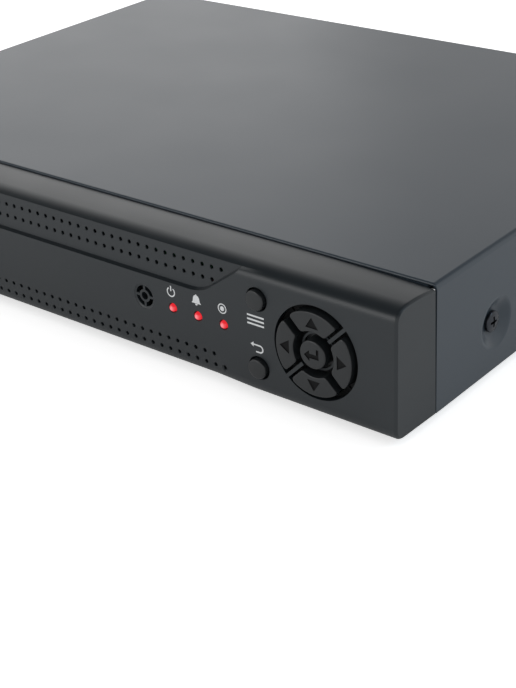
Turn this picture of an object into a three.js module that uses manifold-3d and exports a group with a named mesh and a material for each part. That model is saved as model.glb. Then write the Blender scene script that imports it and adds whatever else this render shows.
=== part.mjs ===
// A security camera video recorder: a low black steel case with a moulded front bezel, seven sprung
// keys, rear sockets, and the boards, hard drive and fan that it works with.
// Every length is in millimetres. In the case's own frame X runs along the front, Y runs back from
// the foremost line of the bezel and Z runs up from the bezel's lower edge.

import * as THREE from 'three';
import { mergeGeometries, mergeVertices } from 'three/addons/utils/BufferGeometryUtils.js';
import Module from 'manifold-3d';

const wasm = await Module();
wasm.setup();

// Whole case
const caseWidth = 300;
const caseHeight = 45;
const caseDepth = 230;
const sheet = 0.8;
const sheetBend = 1.2;
const restGap = 0.3;
const glueLayer = 0.1;
const cutOverrun = 2;
const halfWidth = caseWidth / 2;
const midHeight = caseHeight / 2;

// Front bezel, a moulding
const bezelDepth = 21.4;
const bezelWall = 2;
const bezelLean = 0.6;
const bezelEndRound = 0.8;
const bezelTuck = 0.4;
const topRoundDepth = 4.1;
const topRoundDrop = 3;
const topRoundPullShares = [0.27, 0.13];
const bottomRoundDepth = 5.2;
const bottomRoundRise = 7;
const bottomRoundPullShares = [0.08, 0.2];
const innerRoundBottom = 5;
const innerRoundTop = 2.5;
const faceInside = bezelWall + bezelLean;

// Upper vent band, sunk with sloping sides
const upperBandDrop = 13.4;
const upperBandBottom = caseHeight - upperBandDrop;
const upperBandDepth = 0.62;
const upperBandSlope = 0.067;
const upperBandFlat = 70.5;
const upperBandPull = 75.2;
const upperBandCurveEnd = 78.5;
const upperBandCurveRise = 3.4;
const upperBandRun = 15.6;
const upperBandRise = 11.4;

// Lower vent band, a facet that fades out at its ends
const lowerBandTop = 13.3;
const lowerBandTopAtEnd = 7.5;
const lowerBandDepth = 0.9;
const lowerBandFull = 77;
const lowerBandEnd = 95;
const lowerBandStandOff = 0.05;

// Vent holes
const ventPitch = 4;
const ventRadius = 0.9;
const ventSides = 5;
const ventColumns = 42;
const ventReach = 7;
const ventTopDrop = 4;
const ventSecondDrop = 8.4;
const ventThirdHeight = 9.6;
const ventLowHeight = 5.45;
const ventRows = [
  { height: caseHeight - ventTopDrop, inset: 0 },
  { height: caseHeight - ventSecondDrop, inset: 1 },
  { height: ventThirdHeight, inset: 1 },
  { height: ventLowHeight, inset: 0 },
];

// Direction pad
const padInset = 30;
const padMargin = 6.5;
const padRingInner = 5.9;
const padRingWall = 0.7;
const padSpokeHalf = 0.6;
const padRimGap = 1.5;
const padRingGap = 1.15;
const padSpokeGap = 0.9;
const padKeyProud = 1.5;
const padKeyEdge = 0.35;
const padFlangeReach = 0.8;
const padFlangeHalfGap = 0.35;
const padStemShare = 0.66;
const enterGap = 1;
const enterProud = 1.75;
const enterFlangeReach = 0.4;
const arrowSize = 2.4;
const enterMarkSize = 3.1;
const arrowDepth = 0.3;
const arrowShare = 0.647;
const padX = halfWidth - padInset;
const padHole = midHeight - padMargin;
const padRingOuter = padRingInner + padRingWall;
const padKeyOuter = padHole - padRimGap;
const padKeyInner = padRingOuter + padRingGap;
const padKeyHalfGap = padSpokeHalf + padSpokeGap;
const padFlangeOuter = padHole + padFlangeReach;
const enterRadius = padRingInner - enterGap;
const enterFlange = padRingInner + enterFlangeReach;
const padFlangeInner = enterFlange + restGap;
const padStemRadius = padHole * padStemShare;
const arrowPlace = padHole * arrowShare;

// Round keys
const keyFromPad = 22.7;
const keySpreadShare = 0.269;
const keyHole = 3.85;
const keyGap = 0.35;
const keyProud = 1.6;
const keyEdge = 0.4;
const keyFlangeReach = 1.15;
const keySides = 16;
const keyX = padX - keyFromPad;
const keySpread = caseHeight * keySpreadShare;
const keyRadius = keyHole - keyGap;
const keyFlange = keyHole + keyFlangeReach;

// What every key shares
const keyTravel = 0.6;
const keyFlangeThick = 1;
const keyStem = 1.6;
const keyStemGap = 0.3;
const keyStemEntry = 0.5;
const tactBoreDepth = keyStemEntry + keyTravel + keyStemGap;

// Lamps and the round grille
const lampsFromPad = 47.45;
const lampPitch = 10.95;
const lampHole = 1.7;
const lampGap = 0.2;
const lampCollarReach = 0.2;
const lampCollarThick = 1;
const lampLength = 5;
const lampProud = 0.2;
const lampSides = 12;
const leadHalf = 0.3;
const leadSpread = 1.27;
const grilleFromPad = 71.1;
const grilleHole = 1.4;
const grilleRingWall = 0.9;
const grilleSlotWidth = 1.5;
const grilleRim = 0.5;
const grilleRibHalf = 0.45;
const grilleDishDepth = 0.35;
const receiverWidth = 5.6;
const receiverHeight = 6.8;
const receiverThick = 3.6;
const receiverLens = 2.2;
const receiverSetback = 1.6;
const lampX = padX - lampsFromPad;
const lampRadius = lampHole - lampGap;
const lampCollar = lampHole + lampCollarReach;
const grilleX = padX - grilleFromPad;
const grilleSlotInner = grilleHole + grilleRingWall;
const grilleSlotOuter = grilleSlotInner + grilleSlotWidth;
const grilleDish = grilleSlotOuter + grilleRim;

// Button board behind the keys
const boardThick = 1.6;
const buttonBoardFront = 12;
const buttonBoardFromPad = 83;
const buttonBoardPastPad = 23.5;
const buttonBoardMargin = 4.5;
const tactSize = 6;
const tactHeight = 5;
const tactSeat = 0.4;
const stakeRadius = 1.1;
const bossRadius = 2.6;
const stakeHead = 2;
const stakeHeadThick = 0.8;
const bossPastPad = 20;
const bossFromPad = 29.6;
const farBossFromPad = 79;
const bossInset = 7.5;
const buttonBoardFrom = padX - buttonBoardFromPad;
const buttonBoardTo = padX + buttonBoardPastPad;
const bossPlaces = [
  [padX - farBossFromPad, midHeight],
  [padX - bossFromPad, midHeight],
  [padX + bossPastPad, bossInset],
  [padX + bossPastPad, caseHeight - bossInset],
];

// Hooks that hold the bezel to the chassis
const hookWidth = 10;
const hookThick = 1.4;
const hookBarb = 0.8;
const hookBarbLength = 1.6;
const hookRoot = 6;
const hookInset = 5.6;
const hookShares = [-0.7, 0, 0.3];

// Top cover, a folded sheet
const coverGap = 0.4;
const coverLift = 0.5;
const coverLipDrop = 3.2;
const coverLipRelief = 3.2;
const coverTabWidth = 16;
const coverTabDrop = 8;
const dimpleMouth = 8.75;
const dimpleFloor = 5.5;
const dimpleDepth = 2.2;
const dimpleSides = 16;
const sideScrewHeight = 17;
const sideScrewFront = 57.1;
const sideScrewRearGap = 40;
const rearScrewDrop = 4.3;
const rearScrewShares = [-0.88, -0.12, 0.56];
const coverFront = bezelDepth + coverGap;
const coverInside = halfWidth - sheet;
const sideScrewRear = caseDepth - sideScrewRearGap;
const rearScrewHeight = caseHeight - rearScrewDrop;

// Base chassis, a folded sheet
const flangeHeight = 26;
const chassisFront = coverFront + sheet + restGap;
const chassisHalf = coverInside - restGap;
const flangeOuter = halfWidth - dimpleDepth - sheet - restGap;
const floorTop = coverLift + sheet;
const panelInside = caseDepth - sheet;
const chassisTop = caseHeight - sheet - restGap;
const screwHoleGap = 0.3;
const windowWidth = 28;
const windowRise = 5.4;
const windowEdge = 1.4;
const windowShares = [-0.73, -0.47, -0.2];
const ribbonWindowWidth = 26;
const ribbonWindowHeight = 16;
const floorSlotWidth = 3;
const floorSlotLength = 40;
const floorSlotPitch = 8;
const floorSlotCount = 8;
const floorSlotFromPad = 42;
const floorSlotY = 75;
const floorSlotFrom = padX - floorSlotFromPad;
const chassisBack = chassisFront + sheet;

// Feet
const footRadius = 8;
const footHeight = 3;
const footChamfer = 0.8;
const footSides = 16;
const footInset = 27;
const footFront = 38;
const footRearGap = 22;
const footRear = caseDepth - footRearGap;

// Screws
const screwHead = 3.2;
const screwHeadHeight = 1.5;
const screwHeadCrown = 0.5;
const screwShank = 1.4;
const screwLength = 5;
const screwSides = 8;
const crossWidth = 0.9;
const crossLength = 3.6;
const crossDepth = 0.9;

// Main board
const boardSideGap = 15;
const boardFanGap = 12;
const boardDriveGap = 2.4;
const boardRearGap = 4;
const standOffHeight = 5;
const standOffRadius = 2.8;
const boardScrewInset = 5;
const processorSize = 27;
const processorThick = 2;
const processorShares = [0.54, 0.43];
const heatsinkSize = 38;
const heatsinkBase = 3;
const heatsinkHeight = 14;
const heatsinkFins = 8;
const finThick = 1.2;
const memorySize = [9, 13];
const memoryThick = 1.2;
const memoryShares = [[0.36, 0.37], [0.36, 0.58]];
const capacitorRadius = 4;
const capacitorHeight = 11;
const capacitorShares = [[0.12, 0.6], [0.12, 0.44], [0.18, 0.28]];
const solderSink = 0.2;
const cellRadius = 10;
const cellThick = 3.2;
const cellShares = [0.79, 0.41];
const cellHolderWall = 1.5;
const cellHolderHeight = 3;
const cellHolderFloor = 1;
const buzzerRadius = 6;
const buzzerHeight = 7.5;
const buzzerPort = 1.2;
const buzzerShares = [0.92, 0.47];
const boardUnder = floorTop + standOffHeight;
const boardTop = boardUnder + boardThick;
const deck = boardTop + restGap;

// Rear sockets
const bncCount = 4;
const bncBlock = 14;
const bncBlockDepth = 15;
const bncBarrel = 4.85;
const bncBore = 4.1;
const bncBoreDepth = 9;
const bncCore = 2.4;
const bncCoreDepth = 3;
const bncPinHole = 0.8;
const bncReach = 13;
const bncNut = 6.6;
const bncNutThick = 2;
const bncLug = 1;
const bncLugReach = 1.2;
const bncLugPlace = 10;
const bncSides = 12;
const panelHoleGap = 0.3;
const audioWidth = 10;
const audioHeight = 23;
const audioDepth = 12;
const audioBarrel = 4.1;
const audioBore = 1.7;
const audioReach = 9;
const audioFlange = 5;
const audioFlangeThick = 1.5;
const audioHeightShares = [0.26, 0.74];
const audioSides = 10;
const vgaPlate = [31, 12.5];
const vgaPlateThick = 0.8;
const vgaShell = [16.9, 8.3];
const vgaShellReach = 5.8;
const vgaShellWall = 0.6;
const vgaShellRound = 2;
const vgaCoreSet = 0.8;
const vgaBody = [30, 12];
const vgaBodyDepth = 12;
const vgaNutSpread = 12.5;
const vgaNutRadius = 2.6;
const vgaNutReach = 5;
const vgaNutSides = 6;
const vgaNutBore = 1.4;
const hdmiSize = [15, 5.8];
const hdmiDepth = 11.5;
const hdmiWall = 0.5;
const hdmiChamfer = 1.6;
const hdmiTongue = [11, 0.9];
const hdmiCavity = 8;
const networkSize = [16, 13.5];
const networkDepth = 21;
const networkMouth = [11.8, 6.8];
const networkMouthDepth = 12;
const networkNotch = [6, 2.4];
const networkMouthBase = 3.4;
const usbSize = [14.6, 15.8];
const usbDepth = 17.5;
const usbMouth = [12.6, 5.2];
const usbMouthDepth = 9;
const usbTongue = [11.4, 1.8];
const usbHeightShares = [0.26, 0.76];
const powerSize = [9, 11];
const powerDepth = 14;
const powerBore = 3.1;
const powerBoreDepth = 9.5;
const powerPin = 1;
const powerPinSet = 1;
const socketProud = 0.6;

// Hard drive
const driveLength = 147;
const driveWidth = 101.6;
const driveSideGap = 5.9;
const driveFrontGap = 3.3;
const driveBase = 3;
const driveHeight = 24.7;
const driveLidThick = 1;
const driveLidMargin = 3;
const driveLidBoss = 30;
const driveLidBossHeight = 0.5;
const driveBoardPocket = 3.2;
const driveBoardWidth = 62;
const driveScrewInset = 3.175;
const driveScrewFirst = 41.3;
const driveScrewSecond = 85.7;
const drivePadRadius = 6.2;
const drivePadRound = 5;
const driveScrewBore = 4;
const driveFrom = -flangeOuter + sheet + driveSideGap;
const driveEnd = driveFrom + driveLength;
const driveFront = chassisBack + driveFrontGap;
const driveRear = driveFront + driveWidth;

// Leads that the case holds all the way
const plugGap = 0.3;
const dataPlug = [14, 5, 12];
const powerPlug = [25, 6, 13];
const dataLeadRadius = 1.8;
const powerLeadRadius = 2.6;
const leadSteps = 12;
const leadSides = 6;
const dataDriveShare = 0.74;
const powerDriveShare = 0.48;
const powerHeaderInset = 41;
const headerPitch = 21;
const headerInset = 8;
const headerHeight = 4;
const headerPlugHeight = 6;
const headerDepth = 6;
const dataHeaderWidth = 14;
const powerHeaderWidth = 16;
const ribbonInset = 16;
const ribbonWidth = 12.7;
const ribbonThick = 0.9;
const ribbonPlugWidth = 15;
const ribbonPlugThick = 6;
const ribbonPlugDepth = 3;
const ribbonHeaderDepth = 4;
const ribbonSteps = 16;
const ribbonRoute = [[38, 17], [50, 7], [66, 4], [96, 4], [112, 6.5]];
const dataDriveY = driveFront + dataDriveShare * driveWidth;
const powerDriveY = driveFront + powerDriveShare * driveWidth;

// Fan
const fanInset = 32;
const fanHeadroom = 2.6;
const fanDepth = 10;
const fanRim = 1.3;
const fanCorner = 3;
const fanHoleInset = 4;
const fanHole = 1.7;
const fanHub = 10.5;
const fanHubWall = 1.2;
const fanMotorThick = 1.8;
const fanStrutWidth = 2;
const fanSleeve = 4;
const fanShaft = 1.5;
const fanShaftGap = 0.3;
const fanBladeGap = 0.7;
const fanBlades = 7;
const fanSides = 20;
const fanBladeThick = 1.1;
const fanBladePitch = Math.PI / 4.5;
const fanBladeDepth = 6;
const fanGrilleShares = [[0.21, 0.37], [0.45, 0.64], [0.72, 0.91]];
const grilleBarHalf = 1;
const fanLeadRadius = 1.1;
const fanLeadSteps = 8;
const fanHeaderInset = 6;
const fanHeaderBack = 21;
const fanHeaderSize = [7, 5];
const fanX = halfWidth - fanInset;
const fanSize = chassisTop - floorTop - fanHeadroom;
const fanBore = fanSize / 2 - fanRim;
const fanHoleSpread = fanSize - 2 * fanHoleInset;

// The main board reaches from the drive to the rear panel, and its parts are placed by shares of it
const boardFrom = -flangeOuter + sheet + boardSideGap;
const boardTo = fanX - fanSize / 2 - boardFanGap;
const boardFront = driveRear + boardDriveGap;
const boardRear = caseDepth - boardRearGap;
const onBoardX = (share) => boardFrom + share * (boardTo - boardFrom);
const onBoardY = (share) => boardFront + share * (boardRear - boardFront);
const onBoardPlace = ([across, back]) => [onBoardX(across), onBoardY(back)];
const powerHeaderX = boardTo - powerHeaderInset;
const dataHeaderX = powerHeaderX - headerPitch;
const headerY = boardFront + headerInset;
const ribbonX = boardTo - ribbonInset;
const cellPlace = onBoardPlace(cellShares);
const fanHeaderPlace = [boardTo - fanHeaderInset, boardRear - fanHeaderBack];

// The rear sockets share the board's width, with equal gaps between them
const socketWidths = [
  powerSize[0], usbSize[0], networkSize[0], hdmiSize[0], vgaPlate[0], audioWidth,
  ...new Array(bncCount).fill(bncBlock),
];
const socketsWidth = socketWidths.reduce((sum, width) => sum + width, 0);
const socketGap = (boardTo - boardFrom - socketsWidth) / (socketWidths.length + 1);
const socketXs = [];
let socketEdge = boardFrom;
for (const width of socketWidths) {
  socketXs.push(socketEdge + socketGap + width / 2);
  socketEdge += socketGap + width;
}
const [powerX, usbX, networkX, hdmiX, vgaX, audioX, ...bncXs] = socketXs;

// Finishes
const finishes = {
  moulding: { color: 0x3a3c3d, roughness: 0.42, metalness: 0 },
  paintedSteel: { color: 0x3b3d3f, roughness: 0.55, metalness: 0.2 },
  key: { color: 0x343637, roughness: 0.4, metalness: 0 },
  rubber: { color: 0x161616, roughness: 0.85, metalness: 0 },
  blackScrew: { color: 0x17181a, roughness: 0.35, metalness: 0.8 },
  zincScrew: { color: 0xb9bcc0, roughness: 0.35, metalness: 1 },
  lamp: { color: 0xe0303a, roughness: 0.2, metalness: 0 },
  darkEpoxy: { color: 0x17141c, roughness: 0.25, metalness: 0 },
  circuitBoard: { color: 0x1d5a35, roughness: 0.5, metalness: 0 },
  chip: { color: 0x202022, roughness: 0.6, metalness: 0 },
  aluminium: { color: 0xa7abb0, roughness: 0.4, metalness: 1 },
  nickel: { color: 0xc3c3bf, roughness: 0.25, metalness: 1 },
  ribbon: { color: 0x9a9c9e, roughness: 0.6, metalness: 0 },
  blackLead: { color: 0x1b1b1d, roughness: 0.5, metalness: 0 },
  redLead: { color: 0xa82a26, roughness: 0.5, metalness: 0 },
  blueCore: { color: 0x2b4fa8, roughness: 0.5, metalness: 0 },
  blackPlastic: { color: 0x1c1c1d, roughness: 0.5, metalness: 0 },
};

const unitX = new THREE.Vector3(1, 0, 0);
const unitY = new THREE.Vector3(0, 1, 0);
const unitZ = new THREE.Vector3(0, 0, 1);
const acrossX = new THREE.Matrix4().makeBasis(unitY, unitZ, unitX);
const acrossY = new THREE.Matrix4().makeBasis(unitX, unitZ, unitY.clone().negate());
const quarter = Math.PI / 2;
const eighth = Math.PI / 4;

// Closed three.js geometry to a solid that can be joined and cut
function solidFrom(geometry) {
  const bare = geometry.index ? geometry.toNonIndexed() : geometry.clone();
  bare.deleteAttribute('normal');
  bare.deleteAttribute('uv');
  const merged = mergeVertices(bare);
  const corners = merged.index.array;
  const triVerts = [];
  for (let i = 0; i < corners.length; i += 3) {
    const [a, b, c] = corners.slice(i, i + 3);
    if (a !== b && b !== c && c !== a) {
      triVerts.push(a, b, c);
    }
  }
  return new wasm.Manifold(new wasm.Mesh({
    numProp: 3,
    vertProperties: new Float32Array(merged.attributes.position.array),
    triVerts: new Uint32Array(triVerts),
  }));
}

function geometryFrom(solid) {
  const mesh = solid.getMesh();
  const geometry = new THREE.BufferGeometry();
  geometry.setAttribute('position', new THREE.BufferAttribute(new Float32Array(mesh.vertProperties), 3));
  geometry.setIndex(new THREE.BufferAttribute(new Uint32Array(mesh.triVerts), 1));
  return geometry;
}

function join(first, ...others) {
  let solid = solidFrom(first);
  for (const other of others) {
    solid = solid.add(solidFrom(other));
  }
  return geometryFrom(solid);
}

function cut(body, ...tools) {
  let solid = solidFrom(body);
  for (const tool of tools) {
    solid = solid.subtract(solidFrom(tool));
  }
  return geometryFrom(solid);
}

function common(first, second) {
  return geometryFrom(solidFrom(first).intersect(solidFrom(second)));
}

function moved(geometry, x, y, z) {
  return geometry.clone().translate(x, y, z);
}

// A block between its low and high limits on each axis
function block([x0, x1], [y0, y1], [z0, z1]) {
  const box = new THREE.BoxGeometry(x1 - x0, y1 - y0, z1 - z0);
  return box.translate((x0 + x1) / 2, (y0 + y1) / 2, (z0 + z1) / 2);
}

function around(centre, size) {
  return [centre - size / 2, centre + size / 2];
}

function extruded(shape, length, edge, curveSegments) {
  const bevel = { bevelThickness: edge, bevelSize: edge, bevelOffset: -edge, bevelSegments: 1 };
  const options = { depth: length - 2 * edge, bevelEnabled: edge > 0, curveSegments, ...bevel };
  return new THREE.ExtrudeGeometry(shape, options).translate(0, 0, edge);
}

// A shape drawn in Y and Z, run along X
function alongX(shape, from, to, edge = 0, curveSegments = 4) {
  return extruded(shape, to - from, edge, curveSegments).applyMatrix4(acrossX).translate(from, 0, 0);
}

// A shape drawn in X and Z, run along Y
function alongY(shape, from, to, edge = 0, curveSegments = 4) {
  return extruded(shape, to - from, edge, curveSegments).applyMatrix4(acrossY).translate(0, to, 0);
}

// A profile of [radius, distance] turned about the Y axis, distances rising
function turned(profile, sides) {
  const points = profile.map(([radius, distance]) => new THREE.Vector2(radius, distance));
  return new THREE.LatheGeometry(points, sides);
}

function turnedAboutX(profile, sides) {
  return turned(profile, sides).rotateZ(-quarter);
}

function turnedAboutZ(profile, sides) {
  return turned(profile, sides).rotateX(quarter);
}

function discProfile(radius, from, to) {
  return [[0, from], [radius, from], [radius, to], [0, to]];
}

function polygon(points) {
  return new THREE.Shape(points.map(([u, v]) => new THREE.Vector2(u, v)));
}

// A quarter of a ring round +X, whose straight sides stand off from the diagonals
function sector(inner, outer, halfGap, halfSpan = eighth) {
  const outerAngle = halfSpan - Math.asin(halfGap / outer);
  const innerAngle = halfSpan - Math.asin(halfGap / inner);
  const shape = new THREE.Shape();
  shape.absarc(0, 0, outer, -outerAngle, outerAngle, false);
  shape.absarc(0, 0, inner, innerAngle, -innerAngle, true);
  return shape;
}

function turnedShape(shape, angle, divisions) {
  const pivot = new THREE.Vector2(0, 0);
  return new THREE.Shape(shape.getPoints(divisions).map((point) => point.clone().rotateAround(pivot, angle)));
}

// A closed body through sections of equally many points, capped at its two ends
function lofted(sections) {
  const count = sections[0].length;
  const positions = sections.flat().flatMap((point) => point.toArray());
  const index = [];
  for (let s = 0; s < sections.length - 1; s += 1) {
    for (let i = 0; i < count; i += 1) {
      const a = s * count + i;
      const b = s * count + (i + 1) % count;
      index.push(a, b, b + count, a, b + count, a + count);
    }
  }
  const last = (sections.length - 1) * count;
  const flat = (section) => section.map((point) => new THREE.Vector2(point.y, point.z));
  for (const [a, b, c] of THREE.ShapeUtils.triangulateShape(flat(sections[0]), [])) {
    index.push(a, c, b);
  }
  for (const [a, b, c] of THREE.ShapeUtils.triangulateShape(flat(sections.at(-1)), [])) {
    index.push(last + a, last + b, last + c);
  }
  const geometry = new THREE.BufferGeometry();
  geometry.setAttribute('position', new THREE.Float32BufferAttribute(positions, 3));
  geometry.setIndex(index);
  return geometry;
}

const recorder = new THREE.Group();
const casing = new THREE.Group();
const controls = new THREE.Group();
const electronics = new THREE.Group();
const storage = new THREE.Group();
const cooling = new THREE.Group();
recorder.add(casing, controls, electronics, storage, cooling);

function addPiece(group, name, geometry, finish, place = [0, 0, 0], turn = [0, 0, 0]) {
  const piece = new THREE.Mesh(geometry, new THREE.MeshStandardMaterial(finishes[finish]));
  piece.name = name;
  piece.position.set(...place);
  piece.rotation.set(...turn);
  group.add(piece);
}

// Key pieces are placed by direction round the pad, seen from the front
const padDirections = [
  { name: 'right', angle: 0 },
  { name: 'up', angle: quarter },
  { name: 'left', angle: 2 * quarter },
  { name: 'down', angle: 3 * quarter },
];
const padCentre = [padX, midHeight];
const roundKeys = [
  { name: 'menu_button', height: midHeight + keySpread },
  { name: 'back_button', height: midHeight - keySpread },
];
const keySwitchPlaces = [
  padCentre,
  ...padDirections.map(({ angle }) => [
    padX + padStemRadius * Math.cos(angle),
    midHeight + padStemRadius * Math.sin(angle),
  ]),
  ...roundKeys.map(({ height }) => [keyX, height]),
];

// Front bezel
function bezelOutline() {
  const [topPull, topLift] = topRoundPullShares;
  const [bottomPull, bottomLift] = bottomRoundPullShares;
  const rear = bezelDepth + bezelEndRound;
  const crease = caseHeight - topRoundDrop;
  const roundFoot = bottomRoundRise - bezelTuck;
  const shape = new THREE.Shape();
  shape.moveTo(rear, 0);
  shape.lineTo(rear, caseHeight);
  shape.lineTo(bezelLean + topRoundDepth, caseHeight);
  shape.quadraticCurveTo(
    bezelLean + topRoundDepth * topPull, caseHeight - topRoundDrop * topLift, bezelLean, crease);
  shape.lineTo(0, bottomRoundRise);
  shape.quadraticCurveTo(
    bottomRoundDepth * bottomPull, bezelTuck + roundFoot * bottomLift, bottomRoundDepth, bezelTuck);
  shape.closePath();
  return shape;
}

function bezelHollow() {
  const rear = bezelDepth + cutOverrun;
  const top = caseHeight - bezelWall;
  const shape = new THREE.Shape();
  shape.moveTo(rear, bezelWall);
  shape.lineTo(rear, top);
  shape.lineTo(faceInside + innerRoundTop, top);
  shape.lineTo(faceInside, top - innerRoundTop);
  shape.lineTo(faceInside, bezelWall + innerRoundBottom);
  shape.quadraticCurveTo(faceInside, bezelWall, faceInside + innerRoundBottom, bezelWall);
  shape.closePath();
  return alongX(shape, -halfWidth + bezelWall, halfWidth - bezelWall);
}

function upperBandCut() {
  const run = upperBandCurveEnd + upperBandRun;
  const curveTop = upperBandBottom + upperBandCurveRise;
  const shape = new THREE.Shape();
  shape.moveTo(-upperBandFlat, upperBandBottom);
  shape.lineTo(upperBandFlat, upperBandBottom);
  shape.quadraticCurveTo(upperBandPull, upperBandBottom, upperBandCurveEnd, curveTop);
  shape.lineTo(run, curveTop + upperBandRise);
  shape.lineTo(-run, curveTop + upperBandRise);
  shape.lineTo(-upperBandCurveEnd, curveTop);
  shape.quadraticCurveTo(-upperBandPull, upperBandBottom, -upperBandFlat, upperBandBottom);
  const surface = bezelLean * (upperBandBottom - bottomRoundRise) /
    (caseHeight - topRoundDrop - bottomRoundRise);
  const back = surface + upperBandDepth;
  return alongY(shape, back - cutOverrun - back, back, upperBandDepth)
    .translate(0, -back, -upperBandBottom)
    .rotateX(-Math.atan(upperBandSlope))
    .translate(0, back, upperBandBottom);
}

// One section of the lower band's cutter, across the bezel at x
function lowerBandSection(x, sink, top) {
  const [pull, lift] = bottomRoundPullShares;
  const roundFoot = bottomRoundRise - bezelTuck;
  const curve = new THREE.QuadraticBezierCurve(
    new THREE.Vector2(sink, bottomRoundRise),
    new THREE.Vector2(sink + bottomRoundDepth * pull, bezelTuck + roundFoot * lift),
    new THREE.Vector2(sink + bottomRoundDepth, bezelTuck - lowerBandStandOff),
  );
  const outline = [
    new THREE.Vector2(-cutOverrun, -cutOverrun),
    new THREE.Vector2(sink + bottomRoundDepth, -cutOverrun),
    ...curve.getPoints(4).reverse(),
    new THREE.Vector2(-lowerBandStandOff, top),
    new THREE.Vector2(-cutOverrun, top),
  ];
  return outline.map((point) => new THREE.Vector3(x, point.x, point.y));
}

function lowerBandCut() {
  return lofted([
    lowerBandSection(-lowerBandEnd, -lowerBandStandOff, lowerBandTopAtEnd),
    lowerBandSection(-lowerBandFull, lowerBandDepth, lowerBandTop),
    lowerBandSection(lowerBandFull, lowerBandDepth, lowerBandTop),
    lowerBandSection(lowerBandEnd, -lowerBandStandOff, lowerBandTopAtEnd),
  ]);
}

function ventCuts() {
  const hole = turned(discProfile(ventRadius, -cutOverrun, ventReach), ventSides);
  const firstX = -ventPitch * (ventColumns - 1) / 2;
  const holes = [];
  for (const { height, inset } of ventRows) {
    for (let column = inset; column < ventColumns - inset; column += 1) {
      holes.push(moved(hole, firstX + column * ventPitch, 0, height));
    }
  }
  return mergeGeometries(holes);
}

// Two spokes, to the upper right and the lower left, carry the ring round the enter key
function padCuts() {
  const opening = sector(padRingOuter, padHole, padSpokeHalf, eighth * 2);
  const halves = [eighth * 3, -eighth].map((angle) => {
    const shape = turnedShape(opening, angle, 10);
    return alongY(shape, -cutOverrun, faceInside + cutOverrun).translate(padX, 0, midHeight);
  });
  const centre = turned(discProfile(padRingInner, -cutOverrun, faceInside + cutOverrun), keySides);
  return [...halves, moved(centre, padX, 0, midHeight)];
}

function grilleCuts() {
  const slot = sector(grilleSlotInner, grilleSlotOuter, grilleRibHalf);
  const slots = padDirections.map(({ angle }) => {
    const shape = turnedShape(slot, angle + eighth, 4);
    return alongY(shape, -cutOverrun, faceInside + cutOverrun).translate(grilleX, 0, midHeight);
  });
  const centre = turned(discProfile(grilleHole, -cutOverrun, faceInside + cutOverrun), lampSides);
  const surface = bezelLean * (midHeight - bottomRoundRise) /
    (caseHeight - topRoundDrop - bottomRoundRise);
  const dish = turned(discProfile(grilleDish, -cutOverrun, surface + grilleDishDepth), keySides);
  return [...slots, moved(centre, grilleX, 0, midHeight), moved(dish, grilleX, 0, midHeight)];
}

function roundCut(radius, x, z, sides) {
  const hole = turned(discProfile(radius, -cutOverrun, faceInside + cutOverrun), sides);
  return moved(hole, x, 0, z);
}

// Each boss carries the button board and is staked over behind it
function bossParts() {
  const parts = [];
  const boardBack = buttonBoardFront + boardThick;
  const profile = [
    [0, faceInside - bezelWall / 2],
    [bossRadius, faceInside - bezelWall / 2],
    [bossRadius, buttonBoardFront - restGap],
    [stakeRadius, buttonBoardFront - restGap],
    [stakeRadius, boardBack + restGap],
    [stakeHead, boardBack + restGap],
    [stakeHead, boardBack + restGap + stakeHeadThick],
    [0, boardBack + restGap + stakeHeadThick],
  ];
  for (const [x, z] of bossPlaces) {
    parts.push(moved(turned(profile, screwSides), x, 0, z));
  }
  return parts;
}

// A hook runs back from a rib on the wall, and its barb sits behind the chassis front
const barbFrom = chassisBack + restGap;
const hookEnd = barbFrom + hookBarbLength;

function hookParts(x) {
  const across = around(x, hookWidth);
  const parts = [];
  for (const side of [1, -1]) {
    const height = (z) => midHeight + side * z;
    const span = (low, high) => [height(low), height(high)].sort((a, b) => a - b);
    const arm = midHeight - hookInset;
    const wall = midHeight - bezelWall / 2;
    parts.push(block(across, [bezelDepth - hookRoot, bezelDepth - sheet], span(arm - hookThick, wall)));
    parts.push(block(across, [bezelDepth - hookRoot, hookEnd], span(arm - hookThick, arm)));
    parts.push(block(across, [barbFrom, hookEnd], span(arm - hookThick, arm + hookBarb)));
  }
  return parts;
}

function frontBezel() {
  const ends = bezelEndRound;
  const shell = cut(
    alongX(bezelOutline(), -halfWidth, halfWidth, ends),
    block([-caseWidth, caseWidth], [bezelDepth, caseDepth], [-cutOverrun, caseHeight + cutOverrun]),
    upperBandCut(),
    lowerBandCut(),
    bezelHollow(),
  );
  const hooks = hookShares.flatMap((share) => hookParts(share * halfWidth));
  const bosses = bossParts();
  const openings = [
    ventCuts(),
    ...padCuts(),
    ...grilleCuts(),
    ...roundKeys.map(({ height }) => roundCut(keyHole, keyX, height, keySides)),
    ...[-1, 0, 1].map((step) => roundCut(lampHole, lampX + step * lampPitch, midHeight, lampSides)),
  ];
  return cut(join(shell, ...hooks, ...bosses), ...openings);
}

// Top cover
const sideScrewYs = [sideScrewFront, sideScrewRear];
const dimpleFloorX = halfWidth - dimpleDepth;
const rearScrewXs = rearScrewShares.map((share) => share * halfWidth);

function coverSection(inset, low) {
  const bend = Math.max(sheetBend - inset, sheetBend - sheet);
  const half = halfWidth - inset;
  const top = caseHeight - inset;
  const shape = new THREE.Shape();
  shape.moveTo(half, low);
  shape.lineTo(half, top - bend);
  shape.quadraticCurveTo(half, top, half - bend, top);
  shape.lineTo(-half + bend, top);
  shape.quadraticCurveTo(-half, top, -half, top - bend);
  shape.lineTo(-half, low);
  shape.closePath();
  return shape;
}

function dimpleProfile(extra, from, to) {
  return [[0, from], [dimpleFloor + extra, from], [dimpleMouth + extra, to], [0, to]];
}

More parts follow.
